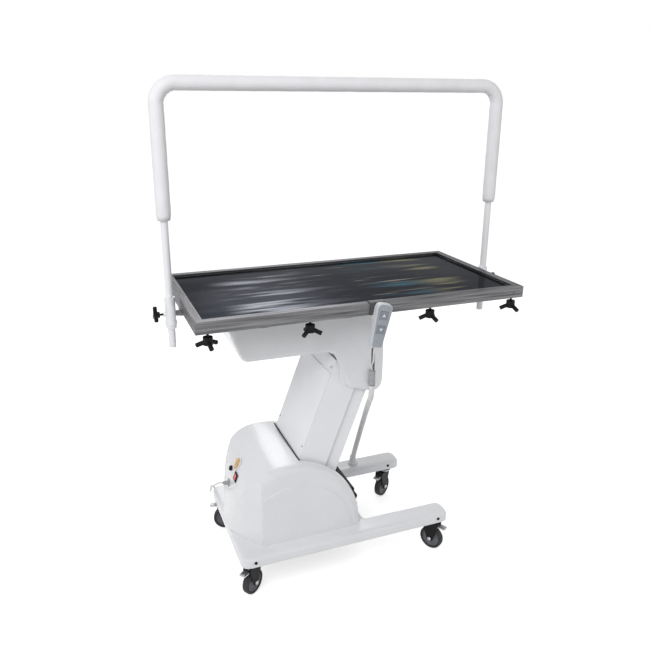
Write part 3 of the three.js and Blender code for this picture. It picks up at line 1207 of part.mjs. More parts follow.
makeTray();
makeTopFrame();
makeTieKnobs();
makeGantry();
makeSocket('left', -1);
makeSocket('right', 1);
makeBase();
makeCasters();
makePivotBracket();
makeArm();
makeLink();
makeCarriage();
makeActuator();
makeDome();
makeNoseFittings();
makeControlBox();
makeBellows();
makeHousing();
makeHandset();
makeLeads();
makeMains();

// The origin lies under the middle of the object without its mains lead
const standing = new THREE.Box3();
table.updateMatrixWorld(true);
table.traverse((node) => {
  if (node.isMesh && !node.name.startsWith('mains_')) standing.expandByObject(node, true);
});
table.position.set(-(standing.min.x + standing.max.x) / 2, -(standing.min.y + standing.max.y) / 2, 0);

export default table;
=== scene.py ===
"""Veterinary exam table: looks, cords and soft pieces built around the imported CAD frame. Metres, +Z up."""
import json
import math

import bpy
from mathutils import Matrix, Vector


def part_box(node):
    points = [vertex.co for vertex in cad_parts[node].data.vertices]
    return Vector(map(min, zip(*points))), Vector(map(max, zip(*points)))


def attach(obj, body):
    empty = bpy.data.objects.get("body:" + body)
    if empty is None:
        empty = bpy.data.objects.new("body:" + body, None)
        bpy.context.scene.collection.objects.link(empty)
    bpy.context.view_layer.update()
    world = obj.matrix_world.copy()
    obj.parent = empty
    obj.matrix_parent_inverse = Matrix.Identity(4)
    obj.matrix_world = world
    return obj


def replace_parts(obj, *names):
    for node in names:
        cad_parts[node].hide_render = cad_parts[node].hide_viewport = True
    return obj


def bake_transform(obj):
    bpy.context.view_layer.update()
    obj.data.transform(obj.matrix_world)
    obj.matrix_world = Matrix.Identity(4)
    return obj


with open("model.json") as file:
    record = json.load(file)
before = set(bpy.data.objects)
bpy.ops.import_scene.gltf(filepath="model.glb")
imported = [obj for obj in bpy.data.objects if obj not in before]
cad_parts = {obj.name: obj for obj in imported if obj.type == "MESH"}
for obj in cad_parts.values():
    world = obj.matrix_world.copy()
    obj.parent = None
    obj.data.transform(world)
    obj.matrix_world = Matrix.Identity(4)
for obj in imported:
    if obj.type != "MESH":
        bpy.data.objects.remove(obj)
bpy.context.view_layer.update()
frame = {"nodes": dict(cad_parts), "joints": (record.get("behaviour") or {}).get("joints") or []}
nodes = frame["nodes"]
joints = {joint["name"]: joint for joint in frame["joints"]}

# Driving sizes, in metres, taken from the frame where it holds them
MM = 0.001
tray_low, tray_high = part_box("tray")
SHIFT = Vector((0, (tray_low.y + tray_high.y) / 2, 0))
BASE_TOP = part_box("base_shell")[1].z
RIM_TOP = tray_high.z
RIM_BOTTOM = tray_low.z
ARM_LEAN = math.radians(20.5)
ARM_PIVOT = Vector(joints["lift_swing"]["pos_m"])
CORNERS = ("near_left", "near_right", "far_right", "far_left")
UP = (0, 0, 1)
SIDES = 32
HOSE_SIDES = 20
ROUTE_STEPS = 8

# Camera fitted to the photograph
CAMERA_PLACE = Vector((-0.9324, -2.2470, 1.7843))
CAMERA_YAW = 0.3773
CAMERA_PITCH = 0.3272
CAMERA_ROLL = 0.0083
CAMERA_LENS = 37.34
CAMERA_SHIFT = (-0.0061, -0.0084)
CAMERA_SENSOR = 36
CAMERA_FAR = 300

# Mains lead: a listed route from the gland to the floor, then a coil of two layers
MAINS_RADIUS = 0.0035
MAINS_ROUTE = (
    (-471.3, 30, 331.7), (-484, 30, 334.4), (-502, 38, 323), (-510, 60, 302), (-506, 100, 264),
    (-498, 150, 228), (-487, 205, 200), (-475, 252, 186), (-459, 286, 160), (-447, 304, 116), (-437, 315, 68),
    (-420, 321, 28),
    (-392, 322, 8), (-358, 317, 4), (-322, 300, 4), (-291, 262, 4), (-266, 216, 4), (-242, 189, 4),
    (-216, 180, 4), (-195, 180, 4))
COIL_MID_RADIUS = 38.5
COIL_TURNS = 5
COIL_PITCH = 7.7
COIL_LOW = 4.0
COIL_LEAD = 7.0
COIL_TAIL = 45.0
COIL_STEPS = 36
MAINS_STEPS = 5
MAINS_ROUNDING = 4

# Conduit from the far leg to the under-housing, and the handset's lead into its collar
CONDUIT_RADIUS = 0.011
CONDUIT_ROUTE = (
    (60, -178, 810), (60, -178, 752), (64, -168, 706), (76, -125, 655), (96, -62, 590), (118, 5, 520),
    (138, 74, 438), (155, 140, 350), (164, 190, 268), (166, 214, 215), (166, 218, 190))
CONDUIT_JOIN = 3
COLLAR_RADIUS = 0.0125
COLLAR_GROOVE = 0.0117
COLLAR_LENGTH = 0.058
COLLAR_PROFILE = (
    (COLLAR_RADIUS, -COLLAR_LENGTH), (COLLAR_RADIUS, -0.044), (COLLAR_GROOVE, -0.042),
    (COLLAR_RADIUS, -0.040), (COLLAR_RADIUS, -0.016), (COLLAR_GROOVE, -0.014), (COLLAR_RADIUS, -0.012),
    (COLLAR_RADIUS, 0), (0.0095, 0.0015))
BOOT_RADIUS = 0.022
BOOT_HEIGHT = 0.04
BOOT_GAP = 0.0003
BOOT_PROFILE = (
    (BOOT_RADIUS, 0), (BOOT_RADIUS, 0.004), (0.017, 0.010), (0.0145, 0.020), (0.0138, 0.030),
    (0.0125, BOOT_HEIGHT))
LEAD_RADIUS = 0.003
LEAD_ROUTE = (
    (-3, -322, 962), (-4, -322, 945), (6, -300, 915), (26, -255, 880), (46, -205, 848), (57, -180, 826),
    (60, -176.5, 811))

# Gantry foam
POST_X = 0.628
GANTRY_TOP = 1.805
GANTRY_BEND = 0.066
FOAM_RADIUS = 0.024
FOAM_END = 1.377
FOAM_CREASES = 5
FOAM_CREASE_DEPTH = 0.0016
FOAM_CLOSING = 0.86
FOAM_RIPPLE = 0.0004
FOAM_STRAIGHT_STEPS = 24
FOAM_BEND_STEPS = 20
FOAM_SIDES = 28

# Wheels
WHEEL_RADIUS = 0.048
WHEEL_HALF = 0.014
DISC_RADIUS = 0.037
HUB_RADIUS = 0.013
AXLE_BORE = 0.0053
WHEEL_SIDES = 40
TYRE_PROFILE = (
    (DISC_RADIUS, -0.010), (0.039, -0.0128), (0.043, -WHEEL_HALF), (0.0462, -0.012), (0.0476, -0.009),
    (WHEEL_RADIUS, -0.004), (WHEEL_RADIUS, 0.004), (0.0476, 0.009), (0.0462, 0.012), (0.043, WHEEL_HALF),
    (0.039, 0.0128), (DISC_RADIUS, 0.010))
DISC_PROFILE = (
    (AXLE_BORE, -0.0138), (0.0105, -0.0138), (HUB_RADIUS, -0.012), (0.0145, -0.007), (0.020, -0.0055),
    (0.030, -0.0055), (0.0325, -0.0095), (0.0365, -0.0105), (0.0368, 0.0105), (0.0325, 0.0095),
    (0.030, 0.0055), (0.020, 0.0055), (0.0145, 0.007), (HUB_RADIUS, 0.012), (0.0105, 0.0138),
    (AXLE_BORE, 0.0138))
NUT_PROFILE = ((0.0085, 0), (0.0085, 0.004), (0.0065, 0.0055), (0.0035, 0.0062), (0.003, 0.0075))
NUT_PLACE = 0.0181
NUT_SIDES = 12
RACE_PROFILE = ((0.0262, 0.1245), (0.0285, 0.126), (0.0285, 0.1305), (0.0262, 0.132))
RACE_SIDES = 36

# Bellows
DOME_CENTRE = Vector((-0.270, 0, BASE_TOP))
BELLOWS_PLEATS = 6
BELLOWS_STEPS = 6
BELLOWS_HALF = 0.157
BELLOWS_REACH = 0.289
BELLOWS_BULGE = 0.020
BELLOWS_DEPTH = 0.008
BELLOWS_SHEET = 0.004
BELLOWS_START = 0.004
BELLOWS_MARGIN = 0.012

# Pilot lamp: its seat on the nose and the nose's slope there
LAMP_SEAT = (-413.0, 8, 416.4)
LAMP_FACING = (-0.8524, 0, 0.5227)
LAMP_FLANGE = 0.0025
BEZEL_PROFILE = (
    (0.0142, -0.028), (0.0142, -0.0022), (0.0268, -0.0022), (0.027, 0.0002), (0.0252, 0.002), (0.023, 0.0022),
    (0.0225, -0.001))
LENS_PROFILE = (
    (0.0224, -0.0012), (0.0222, 0.0012), (0.0203, 0.0036), (0.015, 0.0058), (0.0075, 0.0071),
    (0.0005, 0.0075))

# Tray sheet: its edge colour, its two dark tones, painted reflections with their bands along the tray (start,
# peak, end), and the streaks that shape them (scale, stretch, start, end)
TRAY_EDGE = (0.45, 0.455, 0.468, 1)
TRAY_DARK = ((0.018, 0.018, 0.020), (0.044, 0.044, 0.047))
TRAY_PAINTED_REFLECTIONS = (
    ((0.27, 0.275, 0.30), (-0.5, -0.36, 0.06), "wide"),
    ((0.50, 0.45, 0.38), (-0.2, 0.12, 0.45), "thin"),
    ((0.06, 0.15, 0.20), (0.02, 0.2, 0.36), "wide"),
    ((0.33, 0.31, 0.18), (0.22, 0.4, 0.49), "wide"))
TRAY_STREAKS = {"wide": (6.0, (0.4, 3.2, 1), 0.52, 0.68), "thin": (9.0, (0.3, 5.0, 1), 0.6, 0.68)}
TRAY_GLOSS = (0.08, 0.22)
TRAY_BUMP = (0.06, 0.0003)

# Faces of the tray's node that belong to the sheet: half sizes of the well and the height over the rim's foot
WELL_HALF_X = 0.571
WELL_HALF_Y = 0.276
SHEET_RISE = 0.029
FACING_LIMIT = 0.7

# Steel of the folded rim, brushed along each side, and the low sheen of black plastic
RIM_COLOUR = (0.15, 0.15, 0.155)
RIM_EDGE = (0.6, 0.6, 0.615, 1)
RIM_FINISH = (0.28, 1.0, 0.55, 130.0, 900.0, 0.1)
BLACK_SHEEN = 0.12
AMBER_DEPTH = 0.2
BUMP_DEPTH = 0.0006

# Finishes: material, colour, roughness, metal, mottle and its scale, scale and strength of the grain, coat
FINISHES = {
    "frame": ("frame_paint", (0.16, 0.165, 0.175), 0.45, 0.2, 0.1, 9.0, 420.0, 0.12, 0.0),
    "paint": ("white_paint", (0.895, 0.905, 0.93), 0.32, 0.0, 0.025, 7.0, 520.0, 0.1, 0.2),
    "shell": ("white_shell", (0.82, 0.83, 0.855), 0.26, 0.0, 0.025, 5.0, 380.0, 0.06, 0.3),
    "foam": ("foam_skin", (0.875, 0.87, 0.90), 0.62, 0.0, 0.03, 14.0, 700.0, 0.35, 0.0),
    "zinc": ("zinc_plate", (0.50, 0.51, 0.53), 0.34, 1.0, 0.12, 30.0, 600.0, 0.2, 0.0),
    "black": ("black_plastic", (0.009, 0.009, 0.010), 0.42, 0.0, 0.2, 40.0, 900.0, 0.3, 0.0),
    "rubber": ("black_rubber", (0.026, 0.026, 0.028), 0.75, 0.0, 0.25, 60.0, 1100.0, 0.4, 0.0),
    "disc": ("wheel_disc", (0.12, 0.125, 0.14), 0.5, 0.0, 0.08, 60.0, 700.0, 0.2, 0.0),
    "conduit": ("conduit_grey", (0.82, 0.825, 0.84), 0.5, 0.0, 0.06, 30.0, 500.0, 0.3, 0.0),
    "dark": ("dark_plastic", (0.075, 0.077, 0.083), 0.5, 0.0, 0.15, 40.0, 800.0, 0.25, 0.0),
    "gland": ("gland_grey", (0.38, 0.385, 0.40), 0.45, 0.0, 0.08, 60.0, 800.0, 0.2, 0.0),
    "amber": ("amber_lens", (0.68, 0.40, 0.14), 0.18, 0.0, 0.15, 120.0, 420.0, 0.05, 0.6),
    "red": ("red_plastic", (0.50, 0.02, 0.025), 0.3, 0.0, 0.08, 80.0, 500.0, 0.05, 0.3),
    "handset": ("handset_shell", (0.62, 0.64, 0.67), 0.45, 0.0, 0.05, 30.0, 900.0, 0.25, 0.0),
    "panel": ("handset_panel", (0.36, 0.385, 0.43), 0.5, 0.0, 0.08, 50.0, 900.0, 0.2, 0.0),
    "keys": ("key_rubber", (0.25, 0.275, 0.32), 0.6, 0.0, 0.08, 60.0, 900.0, 0.25, 0.0),
    "mark": ("key_mark", (0.75, 0.77, 0.80), 0.5, 0.0, 0.03, 60.0, 900.0, 0.1, 0.0),
    "cord": ("cord_white", (0.78, 0.785, 0.80), 0.5, 0.0, 0.04, 60.0, 900.0, 0.2, 0.0),
    "screw": ("screw_steel", (0.45, 0.46, 0.48), 0.35, 1.0, 0.1, 200.0, 900.0, 0.1, 0.0)}

# Rivets of the tray's long rims, at the end knobs
RIVET_X = (-0.56, 0.56)
RIVET_DROP = 0.021
RIVET_RADIUS = 0.0036

# Painted shade: a thin black rod along the front edge of the motor cover's slot, darkening the gap there
GAP_SHADE_PLACE = (-218.7, 482.2)
GAP_SHADE_RADIUS = 0.0021
GAP_SHADE_HALF = 158
GAP_SHADE_STEPS = 8
GAP_SHADE_SIDES = 16

# Screws: places on the arm's front panel (along, across) and on the faces of the base's skirt
SCREW_PROFILE = ((1.0, 0.0), (1.0, 0.25), (0.86, 0.5), (0.5, 0.66), (0.34, 0.68), (0.3, 0.4), (0.05, 0.38))
SCREW_SIDES = 16
COVER_SCREWS = ((298, -136), (622, -136))
COVER_FRONT = -0.0623
COVER_SCREW_RADIUS = 0.0045
SKIRT_SCREWS = (
    (-423, -264, -1), (332, -264, -1), (-423, 264, 1), (332, 264, 1), (323, 174, -1), (323, -174, 1))
SKIRT_SCREW_HEIGHT = 159
SKIRT_SCREW_RADIUS = 0.006

# Arrows on the handset's keys
MARK_TILT = math.radians(12)
MARK_TIP = 0.006
MARK_BACK = 0.005
MARK_HALF = 0.007
MARK_RISE = 0.0006
MARK_FACES = ((0, 1, 2), (5, 4, 3), (0, 3, 4, 1), (1, 4, 5, 2), (2, 5, 3, 0))

# Stage: floor, world and lamps (place, target, size, power)
FLOOR_SIZE = 240
FLOOR_HEIGHT = -0.0005
FLOOR_COLOUR = (0.8, 0.8, 0.8, 1)
FLOOR_ROUGHNESS = 0.9
FLOOR_GLOW = 0.64
WORLD_LIGHT = 0.46
WHITE = (1, 1, 1, 1)
LAMPS = {
    "key": ((-2.6, -2.4, 3.6), (0, 0, 0.8), 2.4, 86),
    "fill": ((2.8, -2.2, 1.8), (0, 0, 0.7), 2.2, 7),
    "rim": ((0.6, 3.0, 3.0), (0, 0, 0.9), 2.0, 26)}


def at(x, y, z):
    """A point given in the drawing's millimetres, in the frame's metres."""
    return Vector((x, y, z)) * MM + SHIFT


# Materials

def new_material(name):
    material = bpy.data.materials.new(name)
    material.use_nodes = True
    return material, material.node_tree.nodes, material.node_tree.links


def add_noise(tree_nodes, tree_links, scale, detail, stretch=(1, 1, 1)):
    """A noise texture in the object's own metres, stretched along chosen axes."""
    place = tree_nodes.new("ShaderNodeTexCoord")
    mapping = tree_nodes.new("ShaderNodeMapping")
    mapping.inputs["Scale"].default_value = stretch
    noise = tree_nodes.new("ShaderNodeTexNoise")
    noise.inputs["Scale"].default_value = scale
    noise.inputs["Detail"].default_value = detail
    tree_links.new(place.outputs["Object"], mapping.inputs["Vector"])
    tree_links.new(mapping.outputs["Vector"], noise.inputs["Vector"])
    return noise


def add_ramp(tree_nodes, tree_links, source, low, high, start=0.3, end=0.7):
    ramp = tree_nodes.new("ShaderNodeValToRGB")
    ramp.color_ramp.elements[0].position = start
    ramp.color_ramp.elements[0].color = (*low, 1)
    ramp.color_ramp.elements[1].position = end
    ramp.color_ramp.elements[1].color = (*high, 1)
    tree_links.new(source, ramp.inputs["Fac"])
    return ramp


def shade(colour, factor):
    return tuple(min(1.0, channel * factor) for channel in colour)


def surface(name, colour, roughness, metallic, mottle, mottle_scale, grain_scale, grain, coat=0.0,
            stretch=(1, 1, 1), spread=0.08):
    """A finish with soft colour variation, uneven gloss and a fine bump."""
    material, tree_nodes, tree_links = new_material(name)
    shader = tree_nodes["Principled BSDF"]
    shader.inputs["Metallic"].default_value = metallic
    shader.inputs["Coat Weight"].default_value = coat
    patches = add_noise(tree_nodes, tree_links, mottle_scale, 4, stretch)
    dark, pale = shade(colour, 1 - mottle), shade(colour, 1 + mottle)
    ramp = add_ramp(tree_nodes, tree_links, patches.outputs["Fac"], dark, pale)
    tree_links.new(ramp.outputs["Color"], shader.inputs["Base Color"])
    fine = add_noise(tree_nodes, tree_links, grain_scale, 3, stretch)
    gloss = tree_nodes.new("ShaderNodeMapRange")
    gloss.inputs["To Min"].default_value = max(0.02, roughness - spread)
    gloss.inputs["To Max"].default_value = min(1.0, roughness + spread)
    tree_links.new(fine.outputs["Fac"], gloss.inputs["Value"])
    tree_links.new(gloss.outputs["Result"], shader.inputs["Roughness"])
    bump = tree_nodes.new("ShaderNodeBump")
    bump.inputs["Strength"].default_value = grain
    bump.inputs["Distance"].default_value = BUMP_DEPTH
    tree_links.new(fine.outputs["Fac"], bump.inputs["Height"])
    tree_links.new(bump.outputs["Normal"], shader.inputs["Normal"])
    return material


def add_band(tree_nodes, tree_links, start, peak, end):
    """A soft band along the tray: 0 at start and end, 1 at the peak."""
    place = tree_nodes.new("ShaderNodeTexCoord")
    axes = tree_nodes.new("ShaderNodeSeparateXYZ")
    tree_links.new(place.outputs["Object"], axes.inputs["Vector"])
    ramp = tree_nodes.new("ShaderNodeValToRGB")
    ramp.color_ramp.interpolation = "EASE"
    stops = ((start, 0.0), (peak, 1.0), (end, 0.0))
    ramp.color_ramp.elements.new(0.5)
    for element, (spot, level) in zip(ramp.color_ramp.elements, stops):
        element.position = spot + 0.5
        element.color = (level, level, level, 1)
    shifted = tree_nodes.new("ShaderNodeMath")
    shifted.operation = "ADD"
    shifted.inputs[1].default_value = 0.5
    tree_links.new(axes.outputs["X"], shifted.inputs[0])
    tree_links.new(shifted.outputs["Value"], ramp.inputs["Fac"])
    return ramp.outputs["Color"]


def add_painted_reflection(tree_nodes, tree_links, base, colour, *masks):
    """Lays a colour over a base where all the masks are bright."""
    factor = masks[0]
    for mask in masks[1:]:
        product = tree_nodes.new("ShaderNodeMath")
        product.operation = "MULTIPLY"
        tree_links.new(factor, product.inputs[0])
        tree_links.new(mask, product.inputs[1])
        factor = product.outputs["Value"]
    layer = tree_nodes.new("ShaderNodeMix")
    layer.data_type = "RGBA"
    tree_links.new(factor, layer.inputs["Factor"])
    tree_links.new(base, layer.inputs[6])
    layer.inputs[7].default_value = (*colour, 1)
    return layer.outputs[2]


def add_streaks(tree_nodes, tree_links, scale, stretch, start, end):
    noise = add_noise(tree_nodes, tree_links, scale, 3, stretch)
    ramp = add_ramp(tree_nodes, tree_links, noise.outputs["Fac"], (0, 0, 0), (1, 1, 1), start, end)
    return ramp.outputs["Color"]


def tray_steel():
    """Dark mirror-like sheet with painted reflections: a grey sheen at its left, long pale streaks, and
    blue-green and olive patches towards its right end.
    """
    material, tree_nodes, tree_links = new_material("tray_steel")
    shader = tree_nodes["Principled BSDF"]
    shader.inputs["Metallic"].default_value = 1.0
    shader.inputs["Specular Tint"].default_value = TRAY_EDGE
    clouds = add_noise(tree_nodes, tree_links, 4.0, 4, (0.7, 1.6, 1))
    dark = add_ramp(tree_nodes, tree_links, clouds.outputs["Fac"], *TRAY_DARK, 0.35, 0.7).outputs["Color"]
    streaks = {key: add_streaks(tree_nodes, tree_links, *row) for key, row in TRAY_STREAKS.items()}
    colour = dark
    # Painted reflections: each colour is laid over the dark sheet where its streaks and its band meet,
    # standing in for the surroundings mirrored in the steel
    for reflection_colour, band, streak in TRAY_PAINTED_REFLECTIONS:
        place = add_band(tree_nodes, tree_links, *band)
        colour = add_painted_reflection(tree_nodes, tree_links, colour, reflection_colour, streaks[streak], place)
    tree_links.new(colour, shader.inputs["Base Color"])
    brushing = add_noise(tree_nodes, tree_links, 900.0, 3, (0.02, 1, 1))
    gloss = tree_nodes.new("ShaderNodeMapRange")
    gloss.inputs["To Min"].default_value, gloss.inputs["To Max"].default_value = TRAY_GLOSS
    tree_links.new(brushing.outputs["Fac"], gloss.inputs["Value"])
    tree_links.new(gloss.outputs["Result"], shader.inputs["Roughness"])
    bump = tree_nodes.new("ShaderNodeBump")
    bump.inputs["Strength"].default_value, bump.inputs["Distance"].default_value = TRAY_BUMP
    tree_links.new(brushing.outputs["Fac"], bump.inputs["Height"])
    tree_links.new(bump.outputs["Normal"], shader.inputs["Normal"])
    return material


def principled(material):
    return material.node_tree.nodes["Principled BSDF"]


def rim_steel(name, stretch):
    """Brushed steel of the folded rim, with the brushing along the stretched axis."""
    material = surface(name, RIM_COLOUR, *RIM_FINISH, stretch=stretch)
    principled(material).inputs["Specular Tint"].default_value = RIM_EDGE
    return material


def make_materials():
    made = {key: surface(*row) for key, row in FINISHES.items()}
    made["tray"] = tray_steel()
    made["rim"] = rim_steel("rim_steel", (0.03, 1, 1))
    made["rim_end"] = rim_steel("rim_end_steel", (1, 0.03, 1))
    principled(made["black"]).inputs["Specular IOR Level"].default_value = BLACK_SHEEN
    principled(made["amber"]).inputs["Subsurface Weight"].default_value = AMBER_DEPTH
    return made


materials = make_materials()


# Mesh helpers

def new_piece(name, mesh, material, body):
    piece = bpy.data.objects.new(name, mesh)
    bpy.context.scene.collection.objects.link(piece)
    piece.data.materials.append(materials[material])
    if body:
        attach(piece, body)
    return piece


def mesh_from(name, points, faces):
    mesh = bpy.data.meshes.new(name)
    mesh.from_pydata([tuple(point) for point in points], [], faces)
    mesh.validate()
    mesh.polygons.foreach_set("use_smooth", [True] * len(mesh.polygons))
    return mesh


def turned_mesh(name, profile, origin, axis, sides=SIDES, closed=False):
    """A profile of (radius, height) turned about an axis; a closed profile makes a ring."""
    turn = Vector(UP).rotation_difference(Vector(axis).normalized()).to_matrix()
    points, faces = [], []
    for radius, height in profile:
        for k in range(sides):
            angle = 2 * math.pi * k / sides
            spot = Vector((radius * math.cos(angle), radius * math.sin(angle), height))
            points.append(turn @ spot + Vector(origin))
    rows = len(profile)
    for i in range(rows if closed else rows - 1):
        low, high = i * sides, ((i + 1) % rows) * sides
        for k in range(sides):
            after = (k + 1) % sides
            faces.append((low + k, low + after, high + after, high + k))
    if not closed:
        faces.append(tuple(reversed(range(sides))))
        faces.append(tuple(range((rows - 1) * sides, rows * sides)))
    return mesh_from(name, points, faces)


def swept_mesh(name, path, radii, sides=SIDES):
    """A closed tube along a path with a radius at each point."""
    points, faces = [], []
    normal = (path[1] - path[0]).orthogonal().normalized()
    for i, spot in enumerate(path):
        ahead = path[min(i + 1, len(path) - 1)] - path[max(i - 1, 0)]
        normal = (normal - ahead * normal.dot(ahead) / ahead.length_squared).normalized()
        side = ahead.normalized().cross(normal)
        for k in range(sides):
            angle = 2 * math.pi * k / sides
            radius = radii(i, angle, normal, side)
            points.append(spot + normal * radius * math.cos(angle) + side * radius * math.sin(angle))
    for i in range(len(path) - 1):
        low, high = i * sides, (i + 1) * sides
        for k in range(sides):
            after = (k + 1) % sides
            faces.append((low + k, low + after, high + after, high + k))
    faces.append(tuple(reversed(range(sides))))
    faces.append(tuple(range((len(path) - 1) * sides, len(path) * sides)))
    return mesh_from(name, points, faces)


def smooth_route(points, steps):
    """A centripetal curve through the points, with a number of steps for each span."""
    ends = [points[0] * 2 - points[1], *points, points[-1] * 2 - points[-2]]
    route = []
    for i in range(len(points) - 1):
        a, b, c, d = ends[i:i + 4]
        knots = [0.0]
        for low, high in ((a, b), (b, c), (c, d)):
            knots.append(knots[-1] + math.sqrt((high - low).length))
        for step in range(steps):
            t = knots[1] + (knots[2] - knots[1]) * step / steps
            route.append(curve_point((a, b, c, d), knots, t))
    route.append(points[-1].copy())
    return route


def route_length(route):
    return sum((after - before).length for before, after in zip(route, route[1:]))


def curve_point(controls, knots, t):
    level = list(controls)
    for width in (1, 2):
        level = [mix(level[i], level[i + 1], knots[i], knots[i + width], t) for i in range(len(level) - 1)]
    return mix(level[0], level[1], knots[1], knots[2], t)


def mix(low, high, start, end, t):
    return low * ((end - t) / (end - start)) + high * ((t - start) / (end - start))


def soften(node, width=0.0012, angle=34.0, segments=2):
    """Rounds a CAD node's hard edges in the render without touching its mesh."""
    piece = nodes[node]
    piece.data.polygons.foreach_set("use_smooth", [True] * len(piece.data.polygons))
    weld = piece.modifiers.new("weld", "WELD")
    weld.merge_threshold = 1e-5
    if width > 0:
        bevel = piece.modifiers.new("bevel", "BEVEL")
        bevel.width = width
        bevel.segments = segments
        bevel.limit_method = "ANGLE"
        bevel.angle_limit = math.radians(angle)
        bevel.harden_normals = False
    weighted = piece.modifiers.new("weighted", "WEIGHTED_NORMAL")
    weighted.keep_sharp = True
    weighted.weight = 80


def paint(material, *names, width=0.0012, angle=34.0):
    for name in names:
        nodes[name].data.materials.clear()
        nodes[name].data.materials.append(materials[material])
        soften(name, width, angle)


# Camera

def make_camera():
    data = bpy.data.cameras.new("camera")
    camera = bpy.data.objects.new("camera", data)
    bpy.context.scene.collection.objects.link(camera)
    yaw, pitch, roll = CAMERA_YAW, CAMERA_PITCH, CAMERA_ROLL
    forward = Vector((math.sin(yaw) * math.cos(pitch), math.cos(yaw) * math.cos(pitch), -math.sin(pitch)))
    level = Vector((math.cos(yaw), -math.sin(yaw), 0))
    upright = level.cross(forward)
    right = level * math.cos(roll) + upright * math.sin(roll)
    up = upright * math.cos(roll) - level * math.sin(roll)
    turn = Matrix((right, up, -forward)).transposed().to_4x4()
    camera.matrix_world = Matrix.Translation(CAMERA_PLACE + SHIFT) @ turn
    data.sensor_width = CAMERA_SENSOR
    data.lens = CAMERA_LENS
    data.shift_x, data.shift_y = CAMERA_SHIFT
    data.clip_end = CAMERA_FAR
    bpy.context.scene.camera = camera


# Cords

def coil_route():
    """Spirals in on the floor, climbs in half a turn and spirals out on top."""
    end = Vector(MAINS_ROUTE[-1])
    layer = (COIL_TURNS - 0.5) / 2
    outer = COIL_MID_RADIUS + COIL_PITCH * layer / 2
    centre = Vector((end.x + COIL_LEAD, end.y + outer, 0))
    spots = []
    for i in range(COIL_TURNS * COIL_STEPS + 1):
        turn = i / COIL_STEPS
        climb = min(max((turn - layer) / 0.5, 0), 1)
        inward = min(turn, layer + 0.25) - max(turn - layer - 0.25, 0)
        radius = outer - COIL_PITCH * inward
        angle = 2 * math.pi * turn - math.pi / 2
        height = COIL_LOW + COIL_PITCH * climb * climb * (3 - 2 * climb)
        x, y = centre.x + radius * math.cos(angle), centre.y + radius * math.sin(angle)
        spots.append(Vector((x, y, height)))
    heading = spots[-1] - spots[-2]
    heading.z = 0
    spots.append(spots[-1] + heading.normalized() * COIL_TAIL)
    return spots


def make_mains():
    free = smooth_route([at(*point) for point in MAINS_ROUTE], MAINS_STEPS)
    route = free + [at(*spot) for spot in coil_route()]
    data = bpy.data.curves.new("mains_lead", "CURVE")
    data.dimensions = "3D"
    data.bevel_depth = MAINS_RADIUS
    data.bevel_resolution = MAINS_ROUNDING
    data.use_fill_caps = True
    spline = data.splines.new("POLY")
    spline.points.add(len(route) - 1)
    for point, spot in zip(spline.points, route):
        point.co = (*spot, 1)
    lead = bpy.data.objects.new("mains_lead", data)
    bpy.context.scene.collection.objects.link(lead)
    data.materials.append(materials["cord"])
    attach(lead, "base")
    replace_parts(lead, "mains_cord", "mains_cord_coil")
    print(f"mains lead length {route_length(route):.3f}")
    paint("cord", "mains_plug", width=0.001)


def even(radius):
    """A radius that is the same all along a sweep."""
    def at_point(*_):
        return radius
    return at_point


def hose(name, route, radius, material):
    mesh = swept_mesh(name, route, even(radius), HOSE_SIDES)
    return new_piece(name, mesh, material, None)


def make_conduit():
    points = [at(*point) for point in CONDUIT_ROUTE]
    whole = smooth_route(points, ROUTE_STEPS)
    join = CONDUIT_JOIN * ROUTE_STEPS
    upper, lower = whole[:join + 1], whole[join:]
    high = hose("conduit_upper", upper, CONDUIT_RADIUS, "conduit")
    low = hose("conduit_lower", lower, CONDUIT_RADIUS, "conduit")
    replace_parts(low, "conduit")
    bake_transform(high)
    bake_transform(low)
    print(f"conduit upper {route_length(upper):.3f} lower {route_length(lower):.3f}")
    foot = Vector((points[-1].x, points[-1].y, BASE_TOP + BOOT_GAP))
    boot = turned_mesh("conduit_boot", BOOT_PROFILE, foot, UP)
    new_piece("conduit_boot", boot, "conduit", "base")
    collar = turned_mesh("conduit_collar", COLLAR_PROFILE, points[0], UP)
    new_piece("conduit_collar", collar, "gland", "carriage")


def make_handset_lead():
    route = smooth_route([at(*point) for point in LEAD_ROUTE], ROUTE_STEPS)
    lead = hose("handset_lead", route, LEAD_RADIUS, "conduit")
    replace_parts(lead, "handset_cord")
    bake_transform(lead)


# Gantry foam

def gantry_path():
    """Centre line of the foam, from its left end over the top to its right end."""
    spots = []
    straight, bend = FOAM_STRAIGHT_STEPS, FOAM_BEND_STEPS
    rise = GANTRY_TOP - GANTRY_BEND - FOAM_END
    for i in range(straight):
        spots.append(Vector((-POST_X, 0, FOAM_END + rise * i / straight)))
    for i in range(bend + 1):
        turn = math.pi / 2 * i / bend
        spots.append(Vector((-POST_X + GANTRY_BEND * (1 - math.cos(turn)), 0,
                             GANTRY_TOP - GANTRY_BEND * (1 - math.sin(turn)))))
    half = POST_X - GANTRY_BEND
    for i in range(1, straight + 1):
        spots.append(Vector((-half + half * i / straight, 0, GANTRY_TOP)))
    mirrored = [Vector((-spot.x, spot.y, spot.z)) for spot in reversed(spots[:-1])]
    return [spot + SHIFT for spot in spots + mirrored]


